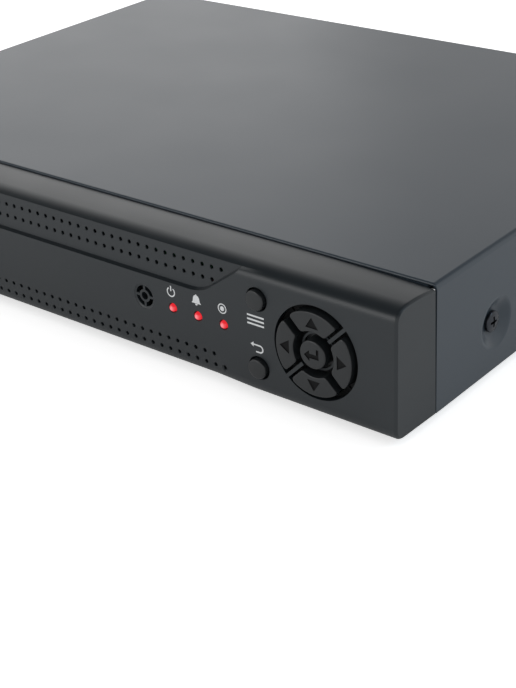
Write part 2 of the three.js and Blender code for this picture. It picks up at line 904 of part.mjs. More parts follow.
function topCover() {
  const lipBottom = caseHeight - coverLipDrop;
  const lipHalf = halfWidth - coverLipRelief;
  const tabBack = panelInside - restGap;
  const across = [-halfWidth - cutOverrun, halfWidth + cutOverrun];
  const frontBend = polygon([
    [coverFront - cutOverrun, caseHeight + cutOverrun],
    [coverFront - cutOverrun, caseHeight - sheet],
    [coverFront, caseHeight - sheet],
    [coverFront + sheet, caseHeight],
    [coverFront + sheet, caseHeight + cutOverrun],
  ]);
  const shell = cut(
    alongY(coverSection(0, coverLift), coverFront, caseDepth),
    alongY(coverSection(sheet, coverLift - cutOverrun), coverFront - cutOverrun, caseDepth + cutOverrun),
  );
  const lip = block(
    [-lipHalf, lipHalf], [coverFront, coverFront + sheet], [lipBottom, caseHeight - sheet / 2]);
  const tabs = rearScrewXs.map((x) => block(
    around(x, coverTabWidth), [tabBack - sheet, tabBack],
    [caseHeight - coverTabDrop, caseHeight - sheet / 2]));
  const bulges = [];
  const pits = [];
  for (const side of [1, -1]) {
    const bulge = turnedAboutX(
      dimpleProfile(sheet, dimpleFloorX - sheet, coverInside + sheet / 2), dimpleSides);
    const pit = turnedAboutX(dimpleProfile(0, dimpleFloorX, halfWidth), dimpleSides);
    const mouth = turnedAboutX(discProfile(dimpleMouth, halfWidth, halfWidth + cutOverrun), dimpleSides);
    const hole = turnedAboutX(
      discProfile(screwShank + screwHoleGap, dimpleFloorX - cutOverrun, halfWidth), screwSides);
    for (const y of sideScrewYs) {
      const put = (shape) => shape.clone().rotateZ(side > 0 ? 0 : 2 * quarter)
        .translate(0, y, sideScrewHeight);
      bulges.push(put(bulge));
      pits.push(put(pit), put(mouth), put(hole));
    }
  }
  const tabHoles = rearScrewXs.map((x) => moved(
    turned(discProfile(screwShank + screwHoleGap, tabBack - cutOverrun, caseDepth), screwSides),
    x, 0, rearScrewHeight));
  return cut(join(shell, lip, ...tabs, ...bulges), alongX(frontBend, ...across), ...pits, ...tabHoles);
}

// Base chassis
const boardScrewPlaces = [
  [boardFrom + boardScrewInset, boardFront + boardScrewInset],
  [boardTo - boardScrewInset, boardFront + boardScrewInset],
  [boardFrom + boardScrewInset, boardRear - 4 * boardScrewInset],
  [boardTo - boardScrewInset, boardRear - 6 * boardScrewInset],
];
const driveScrewPlaces = [driveScrewFirst, driveScrewSecond].flatMap((along) => [-1, 1].map((side) => [
  driveEnd - along,
  driveFront + driveWidth / 2 + side * (driveWidth / 2 - driveScrewInset),
]));
const drivePadTop = floorTop + driveBase - restGap;
const fanScrewCorners = [[-1, 1], [1, -1]];
const fanCentreZ = floorTop + restGap + fanSize / 2;
const fanBack = panelInside - restGap;
const fanFront = fanBack - fanDepth;
const bncCentreZ = deck + bncBlock / 2;
const audioHeights = audioHeightShares.map((share) => deck + share * audioHeight);
const vgaCentreZ = deck + vgaPlate[1] / 2;

function panelHole(radius, x, z, sides) {
  return moved(turned(discProfile(radius, panelInside - cutOverrun, caseDepth + cutOverrun), sides), x, 0, z);
}

function panelWindow([width, height], x, base) {
  return block(
    around(x, width + 2 * panelHoleGap),
    [panelInside - cutOverrun, caseDepth + cutOverrun],
    [base - panelHoleGap, base + height + panelHoleGap]);
}

function panelOpenings() {
  const grille = fanGrilleShares.flatMap(([inner, outer]) => padDirections.map(({ angle }) => {
    const shape = turnedShape(sector(inner * fanBore, outer * fanBore, grilleBarHalf), angle, 4);
    return alongY(shape, panelInside - cutOverrun, caseDepth + cutOverrun)
      .translate(fanX, 0, fanCentreZ);
  }));
  return [
    ...bncXs.map((x) => panelHole(bncBarrel + panelHoleGap, x, bncCentreZ, bncSides)),
    ...audioHeights.map((z) => panelHole(audioBarrel + panelHoleGap, audioX, z, audioSides)),
    panelWindow(vgaShell, vgaX, vgaCentreZ - vgaShell[1] / 2),
    ...[-1, 1].map((side) => panelHole(
      vgaNutRadius + panelHoleGap, vgaX + side * vgaNutSpread, vgaCentreZ, screwSides)),
    panelWindow(hdmiSize, hdmiX, deck),
    panelWindow(networkSize, networkX, deck),
    panelWindow(usbSize, usbX, deck),
    panelWindow(powerSize, powerX, deck),
    ...rearScrewXs.map((x) => panelHole(screwShank + screwHoleGap, x, rearScrewHeight, screwSides)),
    ...fanScrewCorners.map(([sx, sz]) => panelHole(
      screwShank + screwHoleGap, fanX + sx * fanHoleSpread / 2, fanCentreZ + sz * fanHoleSpread / 2,
      screwSides)),
    ...grille,
  ];
}

function frontPlateOpenings() {
  const through = [chassisFront - cutOverrun, chassisBack + cutOverrun];
  const windowTop = midHeight - hookInset - hookBarb - restGap - windowEdge;
  const windowRows = [[windowRise, windowTop], [caseHeight - windowTop, caseHeight - windowRise]];
  const windows = windowShares.flatMap((share) => windowRows.map((span) => block(
    around(share * halfWidth, windowWidth), through, span)));
  const slots = hookShares.flatMap((share) => [1, -1].map((side) => {
    const outer = midHeight - hookInset + hookBarb + restGap;
    const inner = midHeight - hookInset - hookThick - restGap;
    const limits = [midHeight + side * inner, midHeight + side * outer].sort((a, b) => a - b);
    return block(around(share * halfWidth, hookWidth + 2 * restGap), through, limits);
  }));
  const ribbon = block(
    around(ribbonX, ribbonWindowWidth), through, around(midHeight, ribbonWindowHeight));
  return [...windows, ...slots, ribbon];
}

function baseChassis() {
  const rise = [coverLift, chassisTop];
  const innerFlange = flangeOuter - sheet;
  const plates = [
    block([-chassisHalf, chassisHalf], [chassisFront, caseDepth], [coverLift, floorTop]),
    block([-flangeOuter, flangeOuter], [chassisFront, chassisBack], rise),
    block([-chassisHalf, chassisHalf], [panelInside, caseDepth], rise),
    ...[-1, 1].map((side) => block(
      [side * innerFlange, side * flangeOuter].sort((a, b) => a - b),
      [chassisFront, caseDepth - sheet / 2], [coverLift, flangeHeight])),
  ];
  const pads = driveScrewPlaces.map(([x, y]) => moved(
    turnedAboutZ(discProfile(drivePadRadius, coverLift + sheet / 2, drivePadTop), screwSides), x, y, 0));
  const standOffs = boardScrewPlaces.map(([x, y]) => moved(
    turnedAboutZ(discProfile(standOffRadius, coverLift + sheet / 2, boardUnder - restGap), screwSides),
    x, y, 0));
  const padCutouts = driveScrewPlaces.flatMap(([x, y]) => [
    moved(turnedAboutZ(
      discProfile(drivePadRound, coverLift - cutOverrun, drivePadTop - sheet), screwSides), x, y, 0),
    moved(turnedAboutZ(
      discProfile(screwShank + screwHoleGap, coverLift, drivePadTop + cutOverrun), screwSides), x, y, 0),
  ]);
  const standOffBores = boardScrewPlaces.map(([x, y]) => moved(turnedAboutZ(
    discProfile(screwShank + screwHoleGap, coverLift - cutOverrun, boardUnder + cutOverrun), screwSides),
    x, y, 0));
  const flangeHoles = [-1, 1].flatMap((side) => sideScrewYs.map((y) => moved(
    turnedAboutX(discProfile(
      screwShank + screwHoleGap, innerFlange - cutOverrun, flangeOuter + cutOverrun), screwSides)
      .rotateZ(side > 0 ? 0 : 2 * quarter),
    0, y, sideScrewHeight)));
  const floorSlots = [];
  for (let i = 0; i < floorSlotCount; i += 1) {
    floorSlots.push(block(
      around(floorSlotFrom + i * floorSlotPitch, floorSlotWidth), around(floorSlotY, floorSlotLength),
      [coverLift - cutOverrun, floorTop + cutOverrun]));
  }
  return cut(
    join(...plates, ...pads, ...standOffs),
    ...padCutouts, ...standOffBores, ...flangeHoles, ...floorSlots,
    ...frontPlateOpenings(), ...panelOpenings(),
  );
}

// Feet
function foot() {
  const top = coverLift - glueLayer;
  const bottom = coverLift - footHeight;
  const profile = [
    [0, bottom],
    [footRadius - footChamfer, bottom],
    [footRadius, bottom + footChamfer],
    [footRadius, top],
    [0, top],
  ];
  return turnedAboutZ(profile, footSides);
}

// A pan head screw, its seat at z = 0 and its shank below
function screw() {
  const seat = restGap;
  const profile = [
    [0, -screwLength],
    [screwShank, -screwLength],
    [screwShank, seat],
    [screwHead, seat],
    [screwHead, seat + screwHeadHeight - screwHeadCrown],
    [screwHead - screwHeadCrown, seat + screwHeadHeight],
    [0, seat + screwHeadHeight],
  ];
  const top = seat + screwHeadHeight;
  const arm = (width, length) => block(
    around(0, width), around(0, length), [top - crossDepth, top + cutOverrun]);
  return cut(turnedAboutZ(profile, screwSides), arm(crossWidth, crossLength), arm(crossLength, crossWidth));
}

addPiece(casing, 'front_bezel', frontBezel(), 'moulding');
addPiece(casing, 'top_cover', topCover(), 'paintedSteel');
addPiece(casing, 'base_chassis', baseChassis(), 'paintedSteel');

const footShape = foot();
for (const [side, sideName] of [[-1, 'left'], [1, 'right']]) {
  const x = side * (halfWidth - footInset);
  addPiece(casing, `front_${sideName}_foot`, footShape, 'rubber', [x, footFront, 0]);
  addPiece(casing, `rear_${sideName}_foot`, footShape, 'rubber', [x, footRear, 0]);
}

const screwShape = screw();
for (const [side, sideName] of [[-1, 'left'], [1, 'right']]) {
  for (const [y, endName] of [[sideScrewFront, 'front'], [sideScrewRear, 'rear']]) {
    const place = [side * dimpleFloorX, y, sideScrewHeight];
    addPiece(casing, `${sideName}_${endName}_side_screw`, screwShape, 'blackScrew', place,
      [0, side * quarter, 0]);
  }
}
rearScrewXs.forEach((x, i) => {
  addPiece(casing, `rear_cover_screw_${i + 1}`, screwShape, 'blackScrew',
    [x, caseDepth, rearScrewHeight], [-quarter, 0, 0]);
});

// Keys: a cap in front, a retaining flange behind the wall and a stem down to the switch
const flangeFrom = faceInside + restGap;
const flangeTo = flangeFrom + keyFlangeThick;
const tactFront = buttonBoardFront - tactHeight;
const stemEnd = tactFront + keyStemEntry;

function keyStemPart(x, z) {
  return moved(turned(discProfile(keyStem, flangeTo - keyFlangeThick / 2, stemEnd), screwSides), x, 0, z);
}

function faceSurface(z) {
  return bezelLean * (z - bottomRoundRise) / (caseHeight - topRoundDrop - bottomRoundRise);
}

function roundKey(height) {
  const front = faceSurface(height) - keyProud;
  const profile = [
    [0, front],
    [keyRadius - keyEdge, front],
    [keyRadius, front + keyEdge],
    [keyRadius, flangeFrom],
    [keyFlange, flangeFrom],
    [keyFlange, flangeTo],
    [keyStem, flangeTo],
    [keyStem, stemEnd],
    [0, stemEnd],
  ];
  return turned(profile, keySides);
}

function enterKey() {
  const front = faceSurface(midHeight) - enterProud;
  const profile = [
    [0, front],
    [enterRadius - keyEdge, front],
    [enterRadius, front + keyEdge],
    [enterRadius, flangeFrom],
    [enterFlange, flangeFrom],
    [enterFlange, flangeTo],
    [keyStem, flangeTo],
    [keyStem, stemEnd],
    [0, stemEnd],
  ];
  const s = enterMarkSize;
  const mark = polygon([
    [-s, -s / 8], [-s / 3, s / 2], [-s / 3, s / 8], [s / 2, s / 8], [s / 2, s * 0.75],
    [s * 0.8, s * 0.75], [s * 0.8, -s * 3 / 8], [-s / 3, -s * 3 / 8], [-s / 3, -s * 0.75],
  ]);
  return cut(turned(profile, keySides), alongY(mark, front - cutOverrun, front + arrowDepth));
}

function padKey(angle) {
  const front = faceSurface(midHeight) - padKeyProud;
  const cap = alongY(
    turnedShape(sector(padKeyInner, padKeyOuter, padKeyHalfGap), angle, 4),
    front, flangeFrom + keyFlangeThick / 2, padKeyEdge);
  const flange = alongY(
    turnedShape(sector(padFlangeInner, padFlangeOuter, padFlangeHalfGap), angle, 3), flangeFrom, flangeTo);
  const stem = keyStemPart(padStemRadius * Math.cos(angle), padStemRadius * Math.sin(angle));
  const s = arrowSize;
  const triangle = turnedShape(polygon([
    [arrowPlace - s / 2, -s], [arrowPlace + s, 0], [arrowPlace - s / 2, s],
  ]), angle, 1);
  return cut(join(cap, flange, stem), alongY(triangle, front - cutOverrun, front + arrowDepth));
}

for (const { name, angle } of padDirections) {
  addPiece(controls, `${name}_button`, padKey(angle), 'key', [padX, 0, midHeight]);
}
addPiece(controls, 'enter_button', enterKey(), 'key', [padX, 0, midHeight]);
for (const { name, height } of roundKeys) {
  addPiece(controls, name, roundKey(height), 'key', [keyX, 0, height]);
}

// Button board with its tact switches and the ribbon header soldered on
const buttonBoardBack = buttonBoardFront + boardThick;
const ribbonHeaderEnd = buttonBoardBack + ribbonHeaderDepth;

function buttonBoard() {
  const margin = buttonBoardMargin;
  const plate = block(
    [buttonBoardFrom, buttonBoardTo], [buttonBoardFront, buttonBoardBack], [margin, caseHeight - margin]);
  const switches = keySwitchPlaces.map(([x, z]) => block(
    around(x, tactSize), [tactFront, buttonBoardFront + tactSeat], around(z, tactSize)));
  const header = block(
    around(ribbonX, ribbonPlugWidth), [buttonBoardBack - tactSeat, ribbonHeaderEnd],
    around(midHeight, ribbonPlugThick));
  const bores = keySwitchPlaces.map(([x, z]) => moved(
    turned(discProfile(keyStem + keyStemGap, tactFront - cutOverrun, tactFront + tactBoreDepth), screwSides),
    x, 0, z));
  const stakeHoles = bossPlaces.map(([x, z]) => moved(turned(
    discProfile(stakeRadius + restGap, buttonBoardFront - cutOverrun, buttonBoardBack + cutOverrun),
    screwSides), x, 0, z));
  return cut(join(plate, ...switches, header), ...bores, ...stakeHoles);
}
addPiece(controls, 'button_board', buttonBoard(), 'circuitBoard');

// A lead of a small part, from it to the button board
function legs(xs, from) {
  return xs.map((x) => block(
    around(x, 2 * leadHalf), [from, buttonBoardFront - restGap], around(0, 2 * leadHalf)));
}

function lamp() {
  const front = faceSurface(midHeight) - lampProud;
  const back = front + lampLength;
  const profile = [
    [0, front],
    [lampRadius / 2, front + lampRadius / 8],
    [lampRadius, front + lampRadius],
    [lampRadius, back - lampCollarThick],
    [lampCollar, back - lampCollarThick],
    [lampCollar, back],
    [0, back],
  ];
  return join(turned(profile, lampSides), ...legs([-leadSpread, leadSpread], back - leadHalf));
}

['power_lamp', 'alarm_lamp', 'recording_lamp'].forEach((name, i) => {
  addPiece(controls, name, lamp(), 'lamp', [lampX + (i - 1) * lampPitch, 0, midHeight]);
});

function infraredReceiver() {
  const front = faceInside + receiverSetback;
  const back = front + receiverThick;
  const body = block(around(0, receiverWidth), [front, back], around(0, receiverHeight));
  const lens = turned([
    [0, front - receiverLens / 2],
    [receiverLens * 0.7, front - receiverLens / 3],
    [receiverLens, front + leadHalf],
    [0, front + leadHalf],
  ], screwSides);
  return join(body, lens, ...legs([-2 * leadSpread, 0, 2 * leadSpread], back - leadHalf));
}
addPiece(controls, 'infrared_receiver', infraredReceiver(), 'darkEpoxy', [grilleX, 0, midHeight]);

// The ribbon, drawn from the side as its route with a thickness
const ribbonBoardY = boardFront + headerDepth / 2;
const ribbonPlugZ = boardTop + ribbonPlugThick / 2;

function ribbonLead() {
  const start = ribbonHeaderEnd + plugGap;
  const boardPlugEnd = ribbonBoardY - headerDepth / 2 - plugGap;
  const route = new THREE.SplineCurve([
    [start + ribbonPlugDepth / 2, midHeight],
    [start + 3 * ribbonPlugDepth, midHeight],
    ...ribbonRoute,
    [boardPlugEnd - 2 * ribbonPlugDepth, ribbonPlugZ],
    [boardPlugEnd - ribbonPlugDepth / 2, ribbonPlugZ],
  ].map(([y, z]) => new THREE.Vector2(y, z)));
  const over = [];
  const under = [];
  for (let i = 0; i <= ribbonSteps; i += 1) {
    const point = route.getPoint(i / ribbonSteps);
    const along = route.getTangent(i / ribbonSteps);
    const normal = new THREE.Vector2(-along.y, along.x).multiplyScalar(ribbonThick / 2);
    over.push(point.clone().add(normal));
    under.push(point.clone().sub(normal));
  }
  const strip = alongX(new THREE.Shape([...over, ...under.reverse()]), ...around(ribbonX, ribbonWidth));
  const across = around(ribbonX, ribbonPlugWidth);
  const plug = block(across, [start, start + ribbonPlugDepth], around(midHeight, ribbonPlugThick));
  const boardPlug = block(
    across, [boardPlugEnd - ribbonPlugDepth, boardPlugEnd],
    [ribbonPlugZ - ribbonPlugThick / 2 + restGap, ribbonPlugZ + ribbonPlugThick / 2]);
  return join(strip, plug, boardPlug);
}
addPiece(controls, 'button_board_ribbon', ribbonLead(), 'ribbon');

// Main board with what is soldered flat on it
function onBoard([x, y], [width, depth], height) {
  return block(around(x, width), around(y, depth), [boardTop - solderSink, boardTop + height]);
}

function mainBoard() {
  const plate = block([boardFrom, boardTo], [boardFront, boardRear], [boardUnder, boardTop]);
  const [cellX, cellY] = cellPlace;
  const holderRadius = cellRadius + restGap + cellHolderWall;
  const holderTop = boardTop + cellHolderFloor + cellHolderHeight;
  const holder = moved(
    turnedAboutZ(discProfile(holderRadius, boardTop - solderSink, holderTop), keySides), cellX, cellY, 0);
  const seat = moved(
    turnedAboutZ(discProfile(
      cellRadius + restGap, boardTop + cellHolderFloor, holderTop + cutOverrun), keySides),
    cellX, cellY, 0);
  const parts = [
    onBoard([dataHeaderX, headerY], [dataHeaderWidth, headerDepth], headerHeight),
    onBoard([powerHeaderX, headerY], [powerHeaderWidth, headerDepth], headerHeight),
    onBoard([ribbonX, ribbonBoardY], [ribbonPlugWidth, headerDepth], ribbonPlugThick),
    onBoard(fanHeaderPlace, fanHeaderSize, headerHeight),
    ...memoryShares.map((shares) => onBoard(onBoardPlace(shares), memorySize, memoryThick)),
    ...capacitorShares.map(onBoardPlace).map(([x, y]) => moved(turnedAboutZ(
      discProfile(capacitorRadius, boardTop - solderSink, boardTop + capacitorHeight), screwSides), x, y, 0)),
    holder,
  ];
  const holes = boardScrewPlaces.map(([x, y]) => moved(turnedAboutZ(
    discProfile(screwShank + screwHoleGap, boardUnder - cutOverrun, boardTop + cutOverrun), screwSides),
    x, y, 0));
  return cut(join(plate, ...parts), seat, ...holes);
}
addPiece(electronics, 'main_board', mainBoard(), 'circuitBoard');
boardScrewPlaces.forEach(([x, y], i) => {
  addPiece(electronics, `board_screw_${i + 1}`, screwShape, 'zincScrew', [x, y, boardTop]);
});

const [chipX, chipY] = onBoardPlace(processorShares);
const chipTop = deck + processorThick;
addPiece(electronics, 'video_processor', block(
  around(chipX, processorSize), around(chipY, processorSize), [deck, chipTop]), 'chip');

function heatsink() {
  const base = chipTop + restGap;
  const plate = block(around(chipX, heatsinkSize), around(chipY, heatsinkSize), [base, base + heatsinkBase]);
  const fins = [];
  const pitch = (heatsinkSize - finThick) / (heatsinkFins - 1);
  for (let i = 0; i < heatsinkFins; i += 1) {
    const x = chipX - heatsinkSize / 2 + finThick / 2 + i * pitch;
    fins.push(block(
      around(x, finThick), around(chipY, heatsinkSize), [base + heatsinkBase / 2, base + heatsinkHeight]));
  }
  return join(plate, ...fins);
}
addPiece(electronics, 'heatsink', heatsink(), 'aluminium');

const cellBase = boardTop + cellHolderFloor + restGap;
addPiece(electronics, 'coin_cell', turnedAboutZ(
  discProfile(cellRadius, cellBase, cellBase + cellThick), keySides), 'nickel', [...cellPlace, 0]);

function buzzer() {
  const top = deck + buzzerHeight;
  return cut(
    turnedAboutZ(discProfile(buzzerRadius, deck, top), keySides),
    turnedAboutZ(discProfile(buzzerPort, top - buzzerHeight / 2, top + cutOverrun), screwSides));
}
addPiece(electronics, 'buzzer', buzzer(), 'blackPlastic', [...onBoardPlace(buzzerShares), 0]);

// Rear sockets stand on the board and reach through the rear panel
const socketFront = caseDepth + socketProud;

function bncJack() {
  const outer = caseDepth + restGap;
  const end = caseDepth + bncReach;
  const back = panelInside - restGap;
  const body = block(
    around(0, bncBlock), [back - bncBlockDepth, back], around(0, bncBlock));
  const barrel = turned([
    [0, back - sheet],
    [bncBarrel, back - sheet],
    [bncBarrel, outer],
    [bncNut, outer],
    [bncNut, outer + bncNutThick],
    [bncBarrel, outer + bncNutThick],
    [bncBarrel, end],
    [bncBore, end],
    [bncBore, end - bncBoreDepth],
    [bncCore, end - bncBoreDepth],
    [bncCore, end - bncCoreDepth],
    [bncPinHole, end - bncCoreDepth],
    [bncPinHole, end - bncBoreDepth],
    [0, end - bncBoreDepth],
  ], bncSides);
  const lugRoot = (bncBarrel + bncBore) / 2;
  const lugs = [-1, 1].map((side) => block(
    [side * lugRoot, side * (bncBarrel + bncLugReach)].sort((a, b) => a - b),
    around(caseDepth + bncLugPlace, 2 * bncLug), around(0, 2 * bncLug)));
  return join(body, barrel, ...lugs);
}
const bncShape = bncJack();
bncXs.forEach((x, i) => {
  addPiece(electronics, `video_input_${i + 1}`, bncShape, 'nickel', [x, 0, bncCentreZ]);
});

function audioJacks() {
  const back = panelInside - restGap;
  const outer = caseDepth + restGap;
  const end = caseDepth + audioReach;
  const body = block(around(0, audioWidth), [back - audioDepth, back], [deck, deck + audioHeight]);
  const barrels = audioHeights.map((z) => moved(turned([
    [0, back - sheet],
    [audioBarrel, back - sheet],
    [audioBarrel, outer],
    [audioFlange, outer],
    [audioFlange, outer + audioFlangeThick],
    [audioBarrel, outer + audioFlangeThick],
    [audioBarrel, end],
    [audioBore, end],
    [audioBore, outer],
    [0, outer],
  ], audioSides), 0, 0, z));
  return join(body, ...barrels);
}
addPiece(electronics, 'audio_jacks', audioJacks(), 'blackPlastic', [audioX, 0, 0]);

// The D outline of a video socket, wider at its top
function dOutline([width, height], inset) {
  const half = width / 2 - inset;
  const rise = height / 2 - inset;
  const shift = vgaShellRound / 2;
  const r = vgaShellRound - inset;
  return polygon([
    [-half + r, rise], [-half, rise - r], [-half + shift, -rise + r], [-half + shift + r, -rise],
    [half - shift - r, -rise], [half - shift, -rise + r], [half, rise - r], [half - r, rise],
  ]);
}

function vgaPort() {
  const back = panelInside - restGap;
  const end = caseDepth + vgaShellReach;
  const plate = block(around(0, vgaPlate[0]), [back - vgaPlateThick, back], around(0, vgaPlate[1]));
  const body = block(
    around(0, vgaBody[0]), [back - vgaBodyDepth, back - vgaPlateThick / 2], around(0, vgaBody[1]));
  const shell = alongY(dOutline(vgaShell, 0), back - vgaPlateThick / 2, end);
  const hollow = alongY(dOutline(vgaShell, vgaShellWall), end - vgaCoreSet, end + cutOverrun);
  const nuts = [-1, 1].map((side) => moved(
    turned(discProfile(vgaNutRadius, back - vgaPlateThick / 2, caseDepth + vgaNutReach), vgaNutSides),
    side * vgaNutSpread, 0, 0));
  const bores = [-1, 1].map((side) => moved(
    turned(discProfile(vgaNutBore, caseDepth, caseDepth + vgaNutReach + cutOverrun), screwSides),
    side * vgaNutSpread, 0, 0));
  return cut(join(plate, body, shell, ...nuts), hollow, ...bores);
}
addPiece(electronics, 'vga_port', vgaPort(), 'blueCore', [vgaX, 0, vgaCentreZ]);

function hdmiPort() {
  const [width, height] = hdmiSize;
  const outline = (inset) => {
    const half = width / 2 - inset;
    const low = inset;
    const high = height - inset;
    return polygon([
      [-half, high], [-half, low + hdmiChamfer], [-half + hdmiChamfer, low],
      [half - hdmiChamfer, low], [half, low + hdmiChamfer], [half, high],
    ]);
  };
  const shell = cut(
    alongY(outline(0), socketFront - hdmiDepth, socketFront),
    alongY(outline(hdmiWall), socketFront - hdmiCavity, socketFront + cutOverrun));
  const tongue = block(
    around(0, hdmiTongue[0]), [socketFront - hdmiCavity - hdmiWall, socketFront - hdmiWall],
    around(height / 2, hdmiTongue[1]));
  return join(shell, tongue);
}
addPiece(electronics, 'hdmi_port', hdmiPort(), 'nickel', [hdmiX, 0, deck]);

function networkPort() {
  const [width, height] = networkSize;
  const mouth = [socketFront - networkMouthDepth, socketFront + cutOverrun];
  const mouthTop = networkMouthBase + networkMouth[1];
  return cut(
    block(around(0, width), [socketFront - networkDepth, socketFront], [0, height]),
    block(around(0, networkMouth[0]), mouth, [networkMouthBase, mouthTop]),
    block(around(0, networkNotch[0]), mouth, [networkMouthBase - networkNotch[1], mouthTop]));
}
addPiece(electronics, 'network_port', networkPort(), 'nickel', [networkX, 0, deck]);

function usbPorts() {
  const [width, height] = usbSize;
  const centres = usbHeightShares.map((share) => share * height);
  const mouth = [socketFront - usbMouthDepth, socketFront + cutOverrun];
  const shell = cut(
    block(around(0, width), [socketFront - usbDepth, socketFront], [0, height]),
    ...centres.map((z) => block(around(0, usbMouth[0]), mouth, around(z, usbMouth[1]))));
  const tongues = centres.map((z) => block(
    around(0, usbTongue[0]), [socketFront - usbMouthDepth - sheet, socketFront - sheet],
    [z + usbMouth[1] / 2 - 2 * usbTongue[1], z + usbMouth[1] / 2 - usbTongue[1]]));
  return join(shell, ...tongues);
}
addPiece(electronics, 'usb_ports', usbPorts(), 'nickel', [usbX, 0, deck]);

function powerInlet() {
  const [width, height] = powerSize;
  const bore = moved(turned(
    discProfile(powerBore, socketFront - powerBoreDepth, socketFront + cutOverrun), keySides),
    0, 0, height / 2);
  const pin = moved(turned(
    discProfile(powerPin, socketFront - powerBoreDepth - powerPin, socketFront - powerPinSet), screwSides),
    0, 0, height / 2);
  return join(cut(block(around(0, width), [socketFront - powerDepth, socketFront], [0, height]), bore), pin);
}
addPiece(electronics, 'power_inlet', powerInlet(), 'blackPlastic', [powerX, 0, deck]);

// Hard drive on its four pads
const driveUnder = floorTop + driveBase;
const driveTop = driveUnder + driveHeight;
const driveLidTop = driveTop + restGap + driveLidThick + driveLidBossHeight;
const driveCentreY = driveFront + driveWidth / 2;
const driveBoardFrom = driveFrom + driveLength / 2;

function driveCase() {
  const body = block([driveFrom, driveEnd], [driveFront, driveRear], [driveUnder, driveTop]);
  const pocket = block(
    [driveBoardFrom - restGap, driveEnd + cutOverrun],
    around(driveCentreY, driveBoardWidth + 2 * restGap),
    [driveUnder - cutOverrun, driveUnder + driveBoardPocket]);
  const bores = driveScrewPlaces.map(([x, y]) => moved(turnedAboutZ(
    discProfile(screwShank + screwHoleGap, driveUnder - cutOverrun, driveUnder + driveScrewBore), screwSides),
    x, y, 0));
  return cut(body, pocket, ...bores);
}
addPiece(storage, 'hard_drive_case', driveCase(), 'aluminium');

function driveLid() {
  const base = driveTop + restGap;
  const plate = block(
    [driveFrom + driveLidMargin, driveEnd - 4 * driveLidMargin],
    [driveFront + driveLidMargin, driveRear - driveLidMargin],
    [base, base + driveLidThick]);
  const boss = moved(
    turnedAboutZ(discProfile(driveLidBoss, base + driveLidThick / 2, driveLidTop), footSides),
    driveFrom + driveWidth / 2, driveCentreY, 0);
  return join(plate, boss);
}
addPiece(storage, 'hard_drive_lid', driveLid(), 'nickel');

const driveBoardBase = driveUnder + driveBoardPocket - restGap - boardThick;
addPiece(storage, 'hard_drive_board', block(
  [driveBoardFrom, driveEnd], around(driveCentreY, driveBoardWidth),
  [driveBoardBase, driveBoardBase + boardThick]), 'circuitBoard');

driveScrewPlaces.forEach(([x, y], i) => {
  addPiece(storage, `drive_screw_${i + 1}`, screwShape, 'zincScrew',
    [x, y, drivePadTop - sheet], [2 * quarter, 0, 0]);
});

// A round lead through hand-chosen points, with a plug at each end
function leadAlong(points, radius, steps) {
  const section = new THREE.Shape();
  section.absarc(0, 0, radius, 0, 2 * Math.PI, false);
  const route = new THREE.CatmullRomCurve3(points.map((point) => new THREE.Vector3(...point)));
  const corners = section.getPoints(leadSides / 2).slice(0, -1);
  const ring = new THREE.Shape(corners);
  return new THREE.ExtrudeGeometry(ring, { steps, extrudePath: route, bevelEnabled: false });
}

function pointsFrom([x, y, z], steps) {
  return steps.map(([dx, dy, dz]) => [x + dx, y + dy, z + dz]);
}

const plugBase = boardTop + headerHeight + plugGap;

function driveLead([length, thick, reach], driveY, headerX, headerWidth, radius, points) {
  const drivePlug = block(
    [driveEnd + plugGap, driveEnd + plugGap + reach], around(driveY, length),
    [driveUnder, driveUnder + thick]);
  const boardPlug = block(
    around(headerX, headerWidth), around(headerY, headerDepth), [plugBase, plugBase + headerPlugHeight]);
  return join(leadAlong(points, radius, leadSteps), drivePlug, boardPlug);
}

const dataZ = driveUnder + dataPlug[1] / 2;
const dataEnd = driveEnd + plugGap + dataPlug[2];
const powerZ = driveUnder + powerPlug[1] / 2;
const powerEnd = driveEnd + plugGap + powerPlug[2];
const plugTop = plugBase + headerPlugHeight;

// Each route's points are chosen by hand, from the plug on the drive, over the drive's end, to the board
const archZ = (driveLidTop + caseHeight - sheet) / 2;
const dataRoute = [
  ...pointsFrom([dataEnd, dataDriveY, dataZ], [[-1, 0, 0], [4, 0, 0.5], [9, 2, 8]]),
  ...pointsFrom([dataEnd, dataDriveY, archZ], [[9, 9, -7], [4, 21, 0]]),
  ...pointsFrom([dataHeaderX, headerY, plugTop], [[0, 0, 14], [0, 0, 4], [0, 0, -1]]),
];
const powerRoute = [
  ...pointsFrom([powerEnd, powerDriveY, powerZ], [[-1, 0, 0], [6, 0, 0.5], [15, 4, 8]]),
  ...pointsFrom([powerEnd, powerDriveY, archZ], [[19, 15, -6], [22, 38, 0]]),
  ...pointsFrom([powerHeaderX, headerY, plugTop], [[0, -2, 14], [0, 0, 5], [0, 0, -1]]),
];
addPiece(storage, 'drive_data_lead', driveLead(
  dataPlug, dataDriveY, dataHeaderX, dataHeaderWidth, dataLeadRadius, dataRoute), 'redLead');
addPiece(storage, 'drive_power_lead', driveLead(
  powerPlug, powerDriveY, powerHeaderX, powerHeaderWidth, powerLeadRadius, powerRoute), 'blackLead');

// Fan, its frame against the rear panel and its rotor on a sleeve
const fanMotorFrom = fanBack - fanMotorThick;
const hubBack = fanMotorFrom - restGap;
const hubFront = fanFront + restGap;
const fanMiddle = (hubFront + hubBack) / 2;

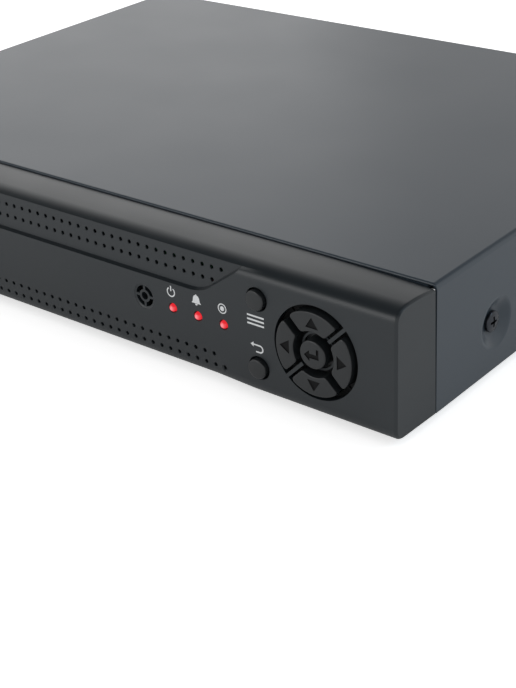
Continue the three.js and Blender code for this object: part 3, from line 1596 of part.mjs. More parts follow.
function fanFrame() {
  const half = fanSize / 2;
  const shape = new THREE.Shape();
  shape.moveTo(half, half - fanCorner);
  for (const [sx, sz] of [[1, 1], [-1, 1], [-1, -1], [1, -1]]) {
    const firstAlongX = sx * sz > 0;
    const near = [sx * (half - (firstAlongX ? 0 : fanCorner)), sz * (half - (firstAlongX ? fanCorner : 0))];
    const far = [sx * (half - (firstAlongX ? fanCorner : 0)), sz * (half - (firstAlongX ? 0 : fanCorner))];
    shape.lineTo(...near);
    shape.quadraticCurveTo(sx * half, sz * half, ...far);
  }
  const housing = alongY(shape, fanFront, fanBack, 0, 3);
  const bore = turned(discProfile(fanBore, fanFront - cutOverrun, fanBack + cutOverrun), fanSides);
  const motor = turned(discProfile(fanHub, fanMotorFrom, fanBack), keySides);
  const sleeve = turned(discProfile(fanSleeve, fanMiddle, fanBack), screwSides);
  const sleeveBore = turned(
    discProfile(fanShaft + fanShaftGap, fanMiddle - cutOverrun, fanBack - fanMotorThick / 2), screwSides);
  const struts = [1, -1].map((turn) => block(
    around(0, fanStrutWidth), [fanMotorFrom, fanBack], [-fanBore - sheet, fanBore + sheet])
    .rotateY(turn * eighth));
  const holes = [[1, 1], [1, -1], [-1, 1], [-1, -1]].map(([sx, sz]) => moved(
    turned(discProfile(fanHole, fanFront - cutOverrun, fanBack + cutOverrun), screwSides),
    sx * fanHoleSpread / 2, 0, sz * fanHoleSpread / 2));
  return cut(join(cut(housing, bore), motor, sleeve, ...struts), sleeveBore, ...holes);
}
addPiece(cooling, 'fan_frame', fanFrame(), 'blackPlastic', [fanX, 0, fanCentreZ]);

function fanRotor() {
  const inner = fanHub - fanHubWall;
  const floor = hubFront + fanHubWall;
  const shaftEnd = fanBack - fanMotorThick;
  const hub = turned([
    [0, hubFront],
    [fanHub, hubFront],
    [fanHub, hubBack],
    [inner, hubBack],
    [inner, floor],
    [fanShaft, floor],
    [fanShaft, shaftEnd],
    [0, shaftEnd],
  ], keySides);
  const tip = fanBore - fanBladeGap;
  const root = fanHub - fanHubWall / 2;
  const blades = [];
  for (let i = 0; i < fanBlades; i += 1) {
    blades.push(block(around(0, 2 * fanBladeDepth), around(0, fanBladeThick), [root, tip + cutOverrun])
      .rotateZ(fanBladePitch)
      .translate(0, fanMiddle, 0)
      .rotateY(i * 2 * Math.PI / fanBlades));
  }
  const sweep = turned([
    [root, hubFront + restGap], [tip, hubFront + restGap],
    [tip, hubBack - restGap], [root, hubBack - restGap], [root, hubFront + restGap],
  ], fanSides);
  return join(hub, common(join(...blades), sweep));
}
addPiece(cooling, 'fan_rotor', fanRotor(), 'blackPlastic', [fanX, 0, fanCentreZ]);

fanScrewCorners.forEach(([sx, sz], i) => {
  addPiece(cooling, `fan_screw_${i + 1}`, screwShape, 'zincScrew', [
    fanX + sx * fanHoleSpread / 2, caseDepth, fanCentreZ + sz * fanHoleSpread / 2,
  ], [-quarter, 0, 0]);
});

const [fanPlugX, fanPlugY] = fanHeaderPlace;
const fanExit = fanX - fanSize / 2 - restGap;
const fanPlug = block(
  around(fanPlugX, fanHeaderSize[0]), around(fanPlugY, fanHeaderSize[1]),
  [plugBase, plugBase + headerPlugHeight]);
const fanRoute = [
  ...pointsFrom([fanExit, fanFront, fanCentreZ], [[0, 3, -8], [-3, 3, -8], [-7, 0, -7], [-12, -7, -2]]),
  ...pointsFrom([fanPlugX, fanPlugY, plugTop], [[1, 1, 4], [0, 0, -1]]),
];
addPiece(cooling, 'fan_lead', join(leadAlong(fanRoute, fanLeadRadius, fanLeadSteps), fanPlug), 'blackLead');

// Stand the feet on z = 0 and centre the whole part, sockets and keys included, over the origin
const foremost = Math.min(
  faceSurface(midHeight) - enterProud,
  ...roundKeys.map(({ height }) => faceSurface(height) - keyProud));
const rearmost = caseDepth + bncReach;
recorder.position.set(0, -(foremost + rearmost) / 2, footHeight - coverLift);

export default recorder;
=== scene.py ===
"""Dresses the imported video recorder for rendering.

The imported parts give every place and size. This script makes the surfaces that the eye meets: the
moulded front with its vents, keys and lamps, the painted steel cover, its screws, the feet and the
rear sockets. Each comes from profiles and grids worked out with numpy. The parts that lie deeper keep
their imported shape, and every part gets its own finish.

Shapes are worked out in the case's own frame, in millimetres: X runs along the front, Y runs back
from the foremost line of the front, and Z runs up from the front's lower edge.
"""

import logging
import math
from collections.abc import Iterable, Sequence
from dataclasses import dataclass, field, replace
from enum import Enum, IntEnum
from functools import cached_property
from typing import Any

import bmesh
import bpy
import numpy as np
from bpy.types import Material, Node, NodeSocket, Object, World
from mathutils import Matrix, Vector


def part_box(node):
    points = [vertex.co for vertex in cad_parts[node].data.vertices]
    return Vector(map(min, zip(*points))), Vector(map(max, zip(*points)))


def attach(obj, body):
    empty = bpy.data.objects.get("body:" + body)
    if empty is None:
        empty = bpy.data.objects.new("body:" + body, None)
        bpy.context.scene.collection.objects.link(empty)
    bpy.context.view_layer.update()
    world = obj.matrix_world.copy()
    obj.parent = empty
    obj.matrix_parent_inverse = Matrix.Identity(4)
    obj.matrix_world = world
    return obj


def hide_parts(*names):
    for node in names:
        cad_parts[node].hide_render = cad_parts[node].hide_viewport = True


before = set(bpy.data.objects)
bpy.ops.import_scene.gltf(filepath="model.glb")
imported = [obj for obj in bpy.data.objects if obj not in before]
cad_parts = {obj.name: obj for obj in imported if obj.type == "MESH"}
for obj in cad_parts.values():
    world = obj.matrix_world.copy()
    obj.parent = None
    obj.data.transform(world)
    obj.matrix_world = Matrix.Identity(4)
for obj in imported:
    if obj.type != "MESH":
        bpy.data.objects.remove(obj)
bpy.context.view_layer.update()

log = logging.getLogger("recorder")

MM = 0.001
# Edges sharper than this many degrees stay crisp
CREASE = 35
# Points nearer than this many millimetres become one
MERGE = 1e-4
# How far a cutting tool reaches past a surface: this much, or more on the face and the cover
CLEAR = 1
FAR_CLEAR = 2
# The share of its reach at which a low dome hands over to its rim
DOME_SHARE = 0.9
# How much more a large face counts than a small one where they share a corner's shading
NORMAL_WEIGHT = 80
Point2 = tuple[float, float]
Point3 = tuple[float, float, float]
Faces = list[list[int]]


class Axis(Enum):
    """The way that a turned shape's axis runs."""

    LEFT = ((0, 0, 1), (0, 1, 0), (-1, 0, 0))
    RIGHT = ((0, 1, 0), (0, 0, 1), (1, 0, 0))
    BACK = ((0, 0, 1), (1, 0, 0), (0, 1, 0))
    UP = ((1, 0, 0), (0, 1, 0), (0, 0, 1))


class Sides(IntEnum):
    """How many flat steps a turned shape takes round its axis, from the least to the widest."""

    HEXAGON = 6
    PIN = 12
    LUG = 20
    BORE = 24
    STEM = 32
    DISC = 40
    SOCKET = 48
    BARREL = 56
    RING = 64
    BOWL = 72


class Cut(Enum):
    """What a carving tool does to a body."""

    AWAY = "DIFFERENCE"
    ONTO = "UNION"


@dataclass(frozen=True)
class CaseSizes:
    """The case's driving sizes in millimetres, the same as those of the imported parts."""

    width: float = 300
    height: float = 45
    depth: float = 230
    sheet: float = 0.8
    bezel_depth: float = 21.4
    cover_front: float = 21.8
    cover_lift: float = 0.5
    lean: float = 0.6
    bottom_rise: float = 7
    bottom_tuck: float = 0.4
    top_drop: float = 3

    @property
    def half(self) -> float:
        """Half the case's width."""
        return self.width / 2

    @property
    def middle(self) -> float:
        """The height of the face's middle line."""
        return self.height / 2

    def surface(self, z: float | np.ndarray) -> float | np.ndarray:
        """How far back the leaning front face lies at height z: it leans evenly between its rounds."""
        return self.lean * (z - self.bottom_rise) / (self.height - self.top_drop - self.bottom_rise)


CASE = CaseSizes()


def case_origin() -> np.ndarray:
    """Finds where the case frame's zero lies in the row frame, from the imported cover.

    Returns:
        The origin in metres.
    """
    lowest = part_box("top_cover")[0]
    corner = np.array([-CASE.half, CASE.cover_front, CASE.cover_lift]) * MM
    return np.array(lowest) - corner


ORIGIN = case_origin()


def quads(rows: int, columns: int, wrap_columns: bool = False) -> np.ndarray:
    """Lists the four corners of each cell of a grid whose points are numbered row by row.

    Args:
        rows: How many rows of points there are.
        columns: How many points each row has.
        wrap_columns: Whether each row closes on itself.

    Returns:
        One line of four point numbers for each cell.
    """
    across = np.arange(columns if wrap_columns else columns - 1)
    row, column = np.meshgrid(np.arange(rows - 1), across, indexing="ij")
    after = (column + 1) % columns
    start, end = row * columns, (row + 1) * columns
    return np.stack([start + column, start + after, end + after, end + column], axis=-1).reshape(-1, 4)


@dataclass
class Shell:
    """Points and faces of one piece while its surfaces are put together, in case millimetres.

    Attributes:
        points: The points of each patch.
        faces: The point numbers of every face.
        levels: One number for each point, kept as an attribute that a finish reads, or None.
        count: How many points there are.
    """

    points: list[np.ndarray] = field(default_factory=list)
    faces: Faces = field(default_factory=list)
    levels: np.ndarray | None = None
    count: int = 0

    def add(self, points: np.ndarray, faces: Iterable[Sequence[int]]) -> None:
        """Adds a patch.

        Args:
            points: The patch's points, any shape whose last axis is x, y, z.
            faces: Point numbers of each face, counted from the patch's first point.
        """
        flat = np.asarray(points, float).reshape(-1, 3)
        self.points.append(flat)
        self.faces.extend([[int(i) + self.count for i in face] for face in faces])
        self.count += len(flat)

    def add_grid(self, grid: np.ndarray, wrap_columns: bool = False) -> None:
        """Adds a grid of points as a patch of four-sided faces."""
        rows, columns = grid.shape[:2]
        self.add(grid, quads(rows, columns, wrap_columns))

    def add_prism(self, rings: np.ndarray) -> None:
        """Adds a closed body through rings of equally many points, with a flat face at each end."""
        count, around = rings.shape[:2]
        sides = quads(count, around, wrap_columns=True).tolist()
        ends = [list(range(around)), list(range((count - 1) * around, count * around))]
        self.add(rings, sides + ends)

    def add_turned(self, profile: Sequence[Point2], centre: Point3, axis: Axis, sides: int) -> None:
        """Adds a turned shape.

        Each profile point [radius, along] is carried round the axis: its place is the centre plus
        along times the axis, plus radius times the cosine and sine of the angle on the two others.

        Args:
            profile: Radius and distance along the axis of each point, from axis to axis or closed.
            centre: Where distance zero lies.
            axis: Which way the axis runs.
            sides: How many steps the circle takes.
        """
        first, second, along = (np.array(v, float) for v in axis.value)
        shape = np.array(profile, float)
        angle = np.linspace(0, 2 * np.pi, sides, endpoint=False)
        ring = np.cos(angle)[:, None] * first + np.sin(angle)[:, None] * second
        grid = shape[:, None, :1] * ring[None] + shape[:, None, 1:] * along
        self.add_grid(grid + np.array(centre, float), wrap_columns=True)

    def add_block(self, low: Point3, high: Point3) -> None:
        """Adds a block between two corners."""
        (x0, y0, z0), (x1, y1, z1) = low, high
        ring = np.array([[x0, y0], [x1, y0], [x1, y1], [x0, y1]])
        rings = np.stack([np.column_stack([ring, np.full(len(ring), z)]) for z in (z0, z1)])
        self.add_prism(rings)

    def make(self, name: str) -> Object:
        """Turns the patches into one Blender object, with doubles merged and faces pointing out.

        Args:
            name: The piece's name.

        Returns:
            The object, at the origin, with its place in its mesh.
        """
        mesh = bpy.data.meshes.new(name)
        points = np.concatenate(self.points) * MM + ORIGIN
        mesh.from_pydata(points, [], self.faces)
        if self.levels is not None:
            level = mesh.attributes.new("level", "FLOAT", "POINT")
            level.data.foreach_set("value", self.levels.astype(np.float32))
        work = bmesh.new()
        work.from_mesh(mesh)
        bmesh.ops.remove_doubles(work, verts=work.verts, dist=MERGE * MM)
        bmesh.ops.recalc_face_normals(work, faces=work.faces)
        work.to_mesh(mesh)
        work.free()
        piece = bpy.data.objects.new(name, mesh)
        bpy.context.scene.collection.objects.link(piece)
        soften(piece)
        return piece


def turned(profile: Sequence[Point2], centre: Point3, axis: Axis, sides: int) -> Shell:
    """A shell that holds one turned shape."""
    shell = Shell()
    shell.add_turned(profile, centre, axis, sides)
    return shell


def spun(profile: Sequence[Point2], x: float, z: float, sides: int) -> Shell:
    """A shell that holds one shape turned about the line along Y through (x, z)."""
    return turned(profile, (x, 0, z), Axis.BACK, sides)


def block(x: Point2, y: Point2, z: Point2) -> Shell:
    """A shell that holds one block, between two places on each axis."""
    shell = Shell()
    shell.add_block((x[0], y[0], z[0]), (x[1], y[1], z[1]))
    return shell


def prism(rings: Sequence[np.ndarray]) -> Shell:
    """A shell that holds one closed body through rings of equally many points."""
    shell = Shell()
    shell.add_prism(np.array(rings))
    return shell


def soften(piece: Object) -> None:
    """Shades a piece smooth, and keeps its sharper edges crisp."""
    mesh = piece.data
    mesh.polygons.foreach_set("use_smooth", np.ones(len(mesh.polygons), bool))
    mesh.set_sharp_from_angle(angle=math.radians(CREASE))
    mesh.update()


def carve(body: Object, tool: Shell, how: Cut = Cut.AWAY, lining: Material | None = None) -> None:
    """Cuts a tool away from a body, or joins it on, and leaves the body's mesh finished.

    Args:
        body: The piece to change.
        tool: The closed shape to cut or join, used up by this.
        how: Whether to cut or join.
        lining: What the faces left by the tool are made of, or None for the body's own stuff.
    """
    other = tool.make(f"{body.name}_tool")
    step = body.modifiers.new("carve", "BOOLEAN")
    step.operation = how.value
    step.solver = "MANIFOLD"
    step.object = other
    if lining:
        other.data.materials.append(lining)
        step.material_mode = "TRANSFER"
    evaluated = body.evaluated_get(bpy.context.evaluated_depsgraph_get())
    result = bpy.data.meshes.new_from_object(evaluated)
    body.modifiers.clear()
    old = body.data
    body.data = result
    result.name = body.name
    bpy.data.meshes.remove(old)
    spare = other.data
    bpy.data.objects.remove(other)
    bpy.data.meshes.remove(spare)
    soften(body)


def even_normals(piece: Object) -> None:
    """Weighs corner shading by face size, so that flat panels stay flat beside their rounds."""
    step = piece.modifiers.new("even normals", "WEIGHTED_NORMAL")
    step.keep_sharp = True
    step.weight = NORMAL_WEIGHT


def finish_piece(
    piece: Object, body: str, material: Material, stands_for: Sequence[str] = ()
) -> None:
    """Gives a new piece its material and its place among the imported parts, and reports it.

    Args:
        piece: The piece, in place.
        body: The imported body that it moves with.
        material: Its finish.
        stands_for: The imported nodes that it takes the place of.
    """
    if piece.data.materials:
        piece.data.materials[0] = material
    else:
        piece.data.materials.append(material)
    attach(piece, body)
    if stands_for:
        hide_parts(*stands_for)
    log.info("%s: %d faces, rides on %s", piece.name, len(piece.data.polygons), body)


def arc(start: float, end: float, steps: int) -> np.ndarray:
    """Angles in radians from start to end degrees, in even steps."""
    return np.radians(np.linspace(start, end, steps + 1))


def quarter(steps: int = 6) -> np.ndarray:
    """Angles in radians over a quarter turn, in even steps."""
    return arc(0, 90, steps)


def rod(radius: float, start: float, end: float, chamfer: float = 0) -> list[Point2]:
    """The profile of a cylinder between two places along its axis, whose far edge may be broken."""
    edge = [(radius, end - chamfer), (radius - chamfer, end)] if chamfer else [(radius, end)]
    return [(0, start), (radius, start), *edge, (0, end)]


def domed(reach: float, level: float, rise: float, rings: int) -> list[Point2]:
    """A low dome's profile: at share s of its reach it lies rise times s squared further along."""
    return [(reach * s, level + rise * s**2) for s in np.linspace(0, DOME_SHARE, rings)]


def rounded_rim(reach: float, level: float, radius: float, steps: int = 6, way: int = 1) -> list[Point2]:
    """A quarter round's profile: at angle a it lies radius sin a out and radius (1 - cos a) along."""
    return [
        (reach + radius * math.sin(a), level + way * radius * (1 - math.cos(a))) for a in quarter(steps)
    ]


def beside(line: np.ndarray, along: np.ndarray, distance: float) -> np.ndarray:
    """Moves a line's points to the right of the way that it runs.

    Args:
        line: The points.
        along: The way that the line runs at each point, of any length.
        distance: How far each point moves.

    Returns:
        The moved points.
    """
    along = along / np.linalg.norm(along, axis=1)[:, None]
    return line + distance * np.column_stack([along[:, 1], -along[:, 0]])


def bezier(controls: Sequence[Point2], steps: int) -> np.ndarray:
    """A curve from the first control point to the last that leans towards those between.

    With n + 1 points, point i counts at t with the weight (n over i) (1 - t)^(n - i) t^i.
    """
    t = np.linspace(0, 1, steps + 1)[:, None]
    points = np.array(controls, float)
    n = len(points) - 1
    i = np.arange(n + 1)
    choose = np.array([math.comb(n, k) for k in i])
    return (choose * (1 - t) ** (n - i) * t**i) @ points


def filleted(profile: Sequence[Point2], radius: float, steps: int = 3) -> list[Point2]:
    """Rounds each inner corner of a turned profile.

    Each corner is swapped for a curve that starts and ends radius away from it along its two sides,
    or half a side away where the side is short, and leans towards the corner.

    Args:
        profile: Radius and distance of each point.
        radius: How far from the corner the round starts.
        steps: How many steps each round takes.

    Returns:
        The rounded profile.
    """
    points = np.array(profile, float)
    rounded = [tuple(points[0])]
    for before, corner, after in zip(points[:-2], points[1:-1], points[2:]):
        first, second = before - corner, after - corner
        lengths = np.linalg.norm(first), np.linalg.norm(second)
        reach = min(radius, lengths[0] / 2, lengths[1] / 2)
        start = corner + first / lengths[0] * reach
        end = corner + second / lengths[1] * reach
        rounded.extend(map(tuple, bezier((start, corner, end), steps)))
    rounded.append(tuple(points[-1]))
    return rounded


def rounded_loop(corners: Sequence[Point2], radius: float, steps: int = 3) -> np.ndarray:
    """Rounds each corner of a closed outline, which starts halfway along its last side."""
    middle = (np.array(corners[0], float) + np.array(corners[-1], float)) / 2
    start = (float(middle[0]), float(middle[1]))
    return np.array(filleted([start, *corners, start], radius, steps)[:-1])


def oblong(w: float, h: float) -> list[Point2]:
    """The corners of an oblong of half width w and half height h."""
    return [(-w, -h), (w, -h), (w, h), (-w, h)]


def on_section(outline: np.ndarray, x: float) -> np.ndarray:
    """Places an outline in Y and Z at one place along X."""
    return np.column_stack([np.full(len(outline), x), outline])


def on_face(outline: np.ndarray, x: float, z: float, y: float | np.ndarray) -> np.ndarray:
    """Places an outline in X and Z round (x, z), at depth y."""
    return np.column_stack([outline[:, 0] + x, np.full(len(outline), y), outline[:, 1] + z])


def edge_of(grid: np.ndarray) -> np.ndarray:
    """The points along a grid's four sides, once round."""
    return np.concatenate([grid[0, :-1], grid[:-1, -1], grid[-1, :0:-1], grid[:0:-1, 0]])


def outward(side: int) -> Axis:
    """The axis that points out of the right side, for 1, or the left side, for -1."""
    return Axis.RIGHT if side > 0 else Axis.LEFT


def place_of(node: str) -> tuple[np.ndarray, np.ndarray]:
    """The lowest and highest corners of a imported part, in case millimetres."""
    low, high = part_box(node)
    return (np.array(low) - ORIGIN) / MM, (np.array(high) - ORIGIN) / MM


def linear(channel: float) -> float:
    """One sRGB channel from 0 to 1 as linear light."""
    return channel / 12.92 if channel <= 0.04045 else ((channel + 0.055) / 1.055) ** 2.4


def colour(hex_code: str) -> tuple[float, float, float, float]:
    """Turns an sRGB colour written as #rrggbb into linear red, green, blue and alpha."""
    return (*(linear(int(hex_code[i : i + 2], 16) / 255) for i in (1, 3, 5)), 1.0)


def grain(size: float) -> float:
    """The scale of a noise on Object coordinates whose grains are size millimetres across."""
    return 1 / (size * MM)


class NodeTree:
    """A material's or world's nodes while they are put together."""

    def __init__(self, owner: Material | World) -> None:
        """Starts with an empty tree on owner."""
        owner.use_nodes = True
        self.tree = owner.node_tree
        self.tree.nodes.clear()

    def add(self, kind: str, inputs: dict[str | int, Any] | None = None, **settings: Any) -> Node:
        """Adds a node.

        Args:
            kind: The node's type, without the ShaderNode in front of it.
            inputs: For each input, a value, or another node's output to link from.
            settings: The node's own settings.

        Returns:
            The node.
        """
        node = self.tree.nodes.new(f"ShaderNode{kind}")
        for name, value in settings.items():
            setattr(node, name, value)
        for name, value in (inputs or {}).items():
            if isinstance(value, NodeSocket):
                self.tree.links.new(value, node.inputs[name])
            else:
                node.inputs[name].default_value = value
        return node


def bump_of(nodes: NodeTree, where: NodeSocket, layers: Sequence[Point2]) -> NodeSocket | None:
    """Stacks bumps of noise on each other.

    Args:
        nodes: The material's nodes.
        where: Object coordinates.
        layers: The grain size and height of each layer, in millimetres.

    Returns:
        The output with the bumped normal, or None where there are no layers.
    """
    normal = None
    for size, height in layers:
        noise = nodes.add("TexNoise", {"Vector": where, "Scale": grain(size)})
        inputs = {"Height": noise.outputs["Fac"], "Strength": 1.0, "Distance": height * MM}
        if normal is not None:
            inputs["Normal"] = normal
        normal = nodes.add("Bump", inputs).outputs["Normal"]
    return normal


@dataclass(frozen=True)
class Finish:
    """A surface of one stuff with grain, slight blotches of shade and slight changes of gloss.

    Attributes:
        name: What the real material is.
        hexes: Its darker and lighter shade.
        roughness: Its lowest and highest roughness.
        layers: Grain size and height of each bump, in millimetres.
        blotch: The size of the changes in shade and gloss, in millimetres.
        metallic: 1 for bare metal.
        ior: Its index of refraction.
        coat: How much clear layer lies over it.
        cloud_detail: How many finer layers the changes in shade and gloss have.
    """

    name: str
    hexes: tuple[str, str]
    roughness: tuple[float, float]
    layers: tuple[tuple[float, float], ...] = ()
    blotch: float = 25
    metallic: float = 0
    ior: float = 1.5
    coat: float = 0
    cloud_detail: float = 3

    @cached_property
    def material(self) -> Material:
        """The material, made at its first use."""
        stuff = bpy.data.materials.new(self.name)
        nodes = NodeTree(stuff)
        where = nodes.add("TexCoord").outputs["Object"]
        cloud = nodes.add(
            "TexNoise", {"Vector": where, "Scale": grain(self.blotch), "Detail": self.cloud_detail}
        ).outputs["Fac"]
        shade = nodes.add(
            "Mix",
            {"Factor": cloud, "A": colour(self.hexes[0]), "B": colour(self.hexes[1])},
            data_type="RGBA",
        )
        gloss = nodes.add(
            "MapRange", {"Value": cloud, "To Min": self.roughness[0], "To Max": self.roughness[1]}
        )
        inputs: dict[str | int, Any] = {
            "Base Color": shade.outputs["Result"],
            "Roughness": gloss.outputs["Result"],
            "Metallic": self.metallic,
        }
        if not self.metallic:
            inputs["IOR"] = self.ior
        if self.coat:
            inputs["Coat Weight"] = self.coat
        if self.layers:
            inputs["Normal"] = bump_of(nodes, where, self.layers)
        surface = nodes.add("BsdfPrincipled", inputs)
        nodes.add("OutputMaterial", {"Surface": surface.outputs["BSDF"]})
        return stuff


@dataclass(frozen=True)
class LitEpoxy:
    """Clear red epoxy with a lit chip in it: pale where the level attribute is 1, dark where it is 0.

    Attributes:
        name: What the real material is.
        core: The glow where the level is 1.
        rim: The glow where the level is low.
        body: The epoxy's own colour.
        strength: How bright the glow is.
        unlit: The level up to which nothing glows.
        roughness: The roughness of the polished lens.
        ior: The epoxy's index of refraction.
    """

    name: str = "lit red epoxy lamp"
    core: str = "#ff96a0"
    rim: str = "#e21420"
    body: str = "#3c0509"
    strength: float = 1.0
    unlit: float = 0.01
    roughness: float = 0.15
    ior: float = 1.55

    @cached_property
    def material(self) -> Material:
        """The material, made at its first use."""
        stuff = bpy.data.materials.new(self.name)
        nodes = NodeTree(stuff)
        level = nodes.add("Attribute", attribute_name="level").outputs["Fac"]
        glow = nodes.add(
            "Mix", {"Factor": level, "A": colour(self.rim), "B": colour(self.core)}, data_type="RGBA"
        ).outputs["Result"]
        lit = nodes.add("Math", {0: level, 1: self.unlit}, operation="GREATER_THAN").outputs["Value"]
        glow = nodes.add(
            "Mix", {"Factor": lit, "A": (0, 0, 0, 1), "B": glow}, data_type="RGBA"
        ).outputs["Result"]
        surface = nodes.add(
            "BsdfPrincipled",
            {
                "Base Color": colour(self.body),
                "Roughness": self.roughness,
                "IOR": self.ior,
                "Emission Color": glow,
                "Emission Strength": self.strength,
            },
        )
        nodes.add("OutputMaterial", {"Surface": surface.outputs["BSDF"]})
        return stuff


# Moulded ABS, black, with a fine spark-eroded grain that spreads its gloss
MOULDED_ABS = Finish(
    "moulded ABS", ("#191f23", "#1d2327"), (0.34, 0.42), ((0.35, 0.006), (1.4, 0.006)), blotch=30
)
# The keys are the same plastic, a little greyer and smoother
KEY_ABS = Finish("smooth moulded ABS", ("#191c1e", "#1d2022"), (0.3, 0.38), ((0.3, 0.004),), blotch=12)
# The keys' hidden skirts: the same moulded plastic, left matt by the mould, with a colour painted darker than
# the keys as painted shade in the gaps round them
SKIRT_ABS_PAINTED_SHADE = Finish(
    "moulded ABS painted dark as shade", ("#0e0f10", "#121314"), (0.65, 0.75), ((0.3, 0.004),), blotch=12, ior=1.3
)
# A dark matt fill on the keys' sunken marks, darker than the plastic round it and shining less
DARK_MARK_FILL = Finish(
    "dark matt mark fill", ("#0b0b0c", "#0f0f10"), (0.7, 0.8), ((0.25, 0.004),), blotch=4, ior=1.28
)
# Powder coat on steel, whose slight orange peel softens what it reflects
POWDER_COAT = Finish(
    "powder coated steel", ("#2f3840", "#333c44"), (0.3, 0.36), ((0.4, 0.004), (2.2, 0.006)), blotch=45
)
# Moulded rubber, matt, with a chalky bloom
RUBBER = Finish("moulded rubber", ("#151515", "#1d1d1c"), (0.75, 0.9), ((0.3, 0.02),), blotch=6)
# Black passivated zinc on steel, which keeps a metal's glint
BLACK_ZINC = Finish(
    "black zinc plated steel", ("#34363a", "#484a4f"), (0.2, 0.32), ((0.25, 0.004),), blotch=2, metallic=1
)
# Bright zinc on steel, slightly blue
BRIGHT_ZINC = Finish(
    "bright zinc plated steel", ("#aeb3b8", "#c3c6c9"), (0.25, 0.4), ((0.25, 0.003),), blotch=2, metallic=1
)
# Nickel plate on brass, warm and bright
NICKEL = Finish(
    "nickel plated brass", ("#b9b6ae", "#cac7c0"), (0.18, 0.3), ((0.3, 0.002),), blotch=4, metallic=1
)
# Tin plate on a stamped shell, duller and whiter than nickel
TINPLATE = Finish(
    "tin plated steel", ("#b8babb", "#c9cacb"), (0.28, 0.42), ((0.5, 0.003),), blotch=5, metallic=1
)
# Die cast aluminium, sandy and grey
CAST_ALUMINIUM = Finish(
    "die cast aluminium", ("#8f9396", "#a5a8aa"), (0.4, 0.55), ((0.5, 0.02),), blotch=18, metallic=1
)
# Solder mask over glass epoxy board, glossy green
SOLDER_MASK = Finish(
    "green solder mask", ("#154a2b", "#1d5a35"), (0.25, 0.4), ((1.2, 0.01),), blotch=3, coat=0.3
)
# Transfer moulded epoxy of a chip, matt black
CHIP_EPOXY = Finish("chip epoxy", ("#1b1b1d", "#232325"), (0.5, 0.65), ((0.2, 0.006),), blotch=5)
# Dark filter epoxy of the receiver, glossy and faintly violet
FILTER_EPOXY = Finish("dark filter epoxy", ("#120f16", "#17141c"), (0.1, 0.2), (), blotch=6)
# PVC of flat cable, grey with a slight sheen
GREY_PVC = Finish("grey PVC", ("#8e9092", "#9c9ea0"), (0.4, 0.5), ((0.6, 0.008),), blotch=8)
# The same PVC in black, with the same slight sheen
BLACK_PVC = Finish("black PVC", ("#19191b", "#222224"), (0.35, 0.5), ((0.6, 0.008),), blotch=8)
# The same PVC in signal red, for the data lead and one phono socket
RED_PVC = Finish("red PVC", ("#98221f", "#a82a26"), (0.35, 0.5), ((0.6, 0.008),), blotch=8)
# Glass filled nylon, black and slightly dusty
BLACK_NYLON = Finish("glass filled nylon", ("#17171a", "#202023"), (0.4, 0.55), ((0.4, 0.01),), blotch=8)
# Screen socket's core, unfilled nylon in the usual blue, smoother than the black
BLUE_NYLON = Finish("blue nylon", ("#234396", "#2b4fa8"), (0.35, 0.5), ((0.4, 0.008),), blotch=6)
# Screen printed ink, white and dry
WHITE_INK = Finish("white screen print ink", ("#dadcdd", "#e8eaeb"), (0.55, 0.7), ((0.2, 0.004),), blotch=3)
# Turned PTFE between a socket's contacts, waxy white
PTFE = Finish("turned PTFE", ("#dedcd6", "#e9e8e3"), (0.45, 0.6), ((0.3, 0.004),), blotch=3)
# Gold flash on the contacts, warm and mirror bright
GOLD_FLASH = Finish(
    "gold flashed bronze", ("#b98f3c", "#cfa654"), (0.2, 0.32), ((0.2, 0.002),), blotch=1.5, metallic=1
)
# Unfilled nylon of a phono socket, white with a slight gloss
WHITE_NYLON = Finish("white nylon", ("#d4d4cf", "#e0e0dc"), (0.35, 0.5), ((0.4, 0.008),), blotch=6)
# Clear red epoxy lit from within, pale over its chip and deep red towards its rim
LIT_LAMP = LitEpoxy()


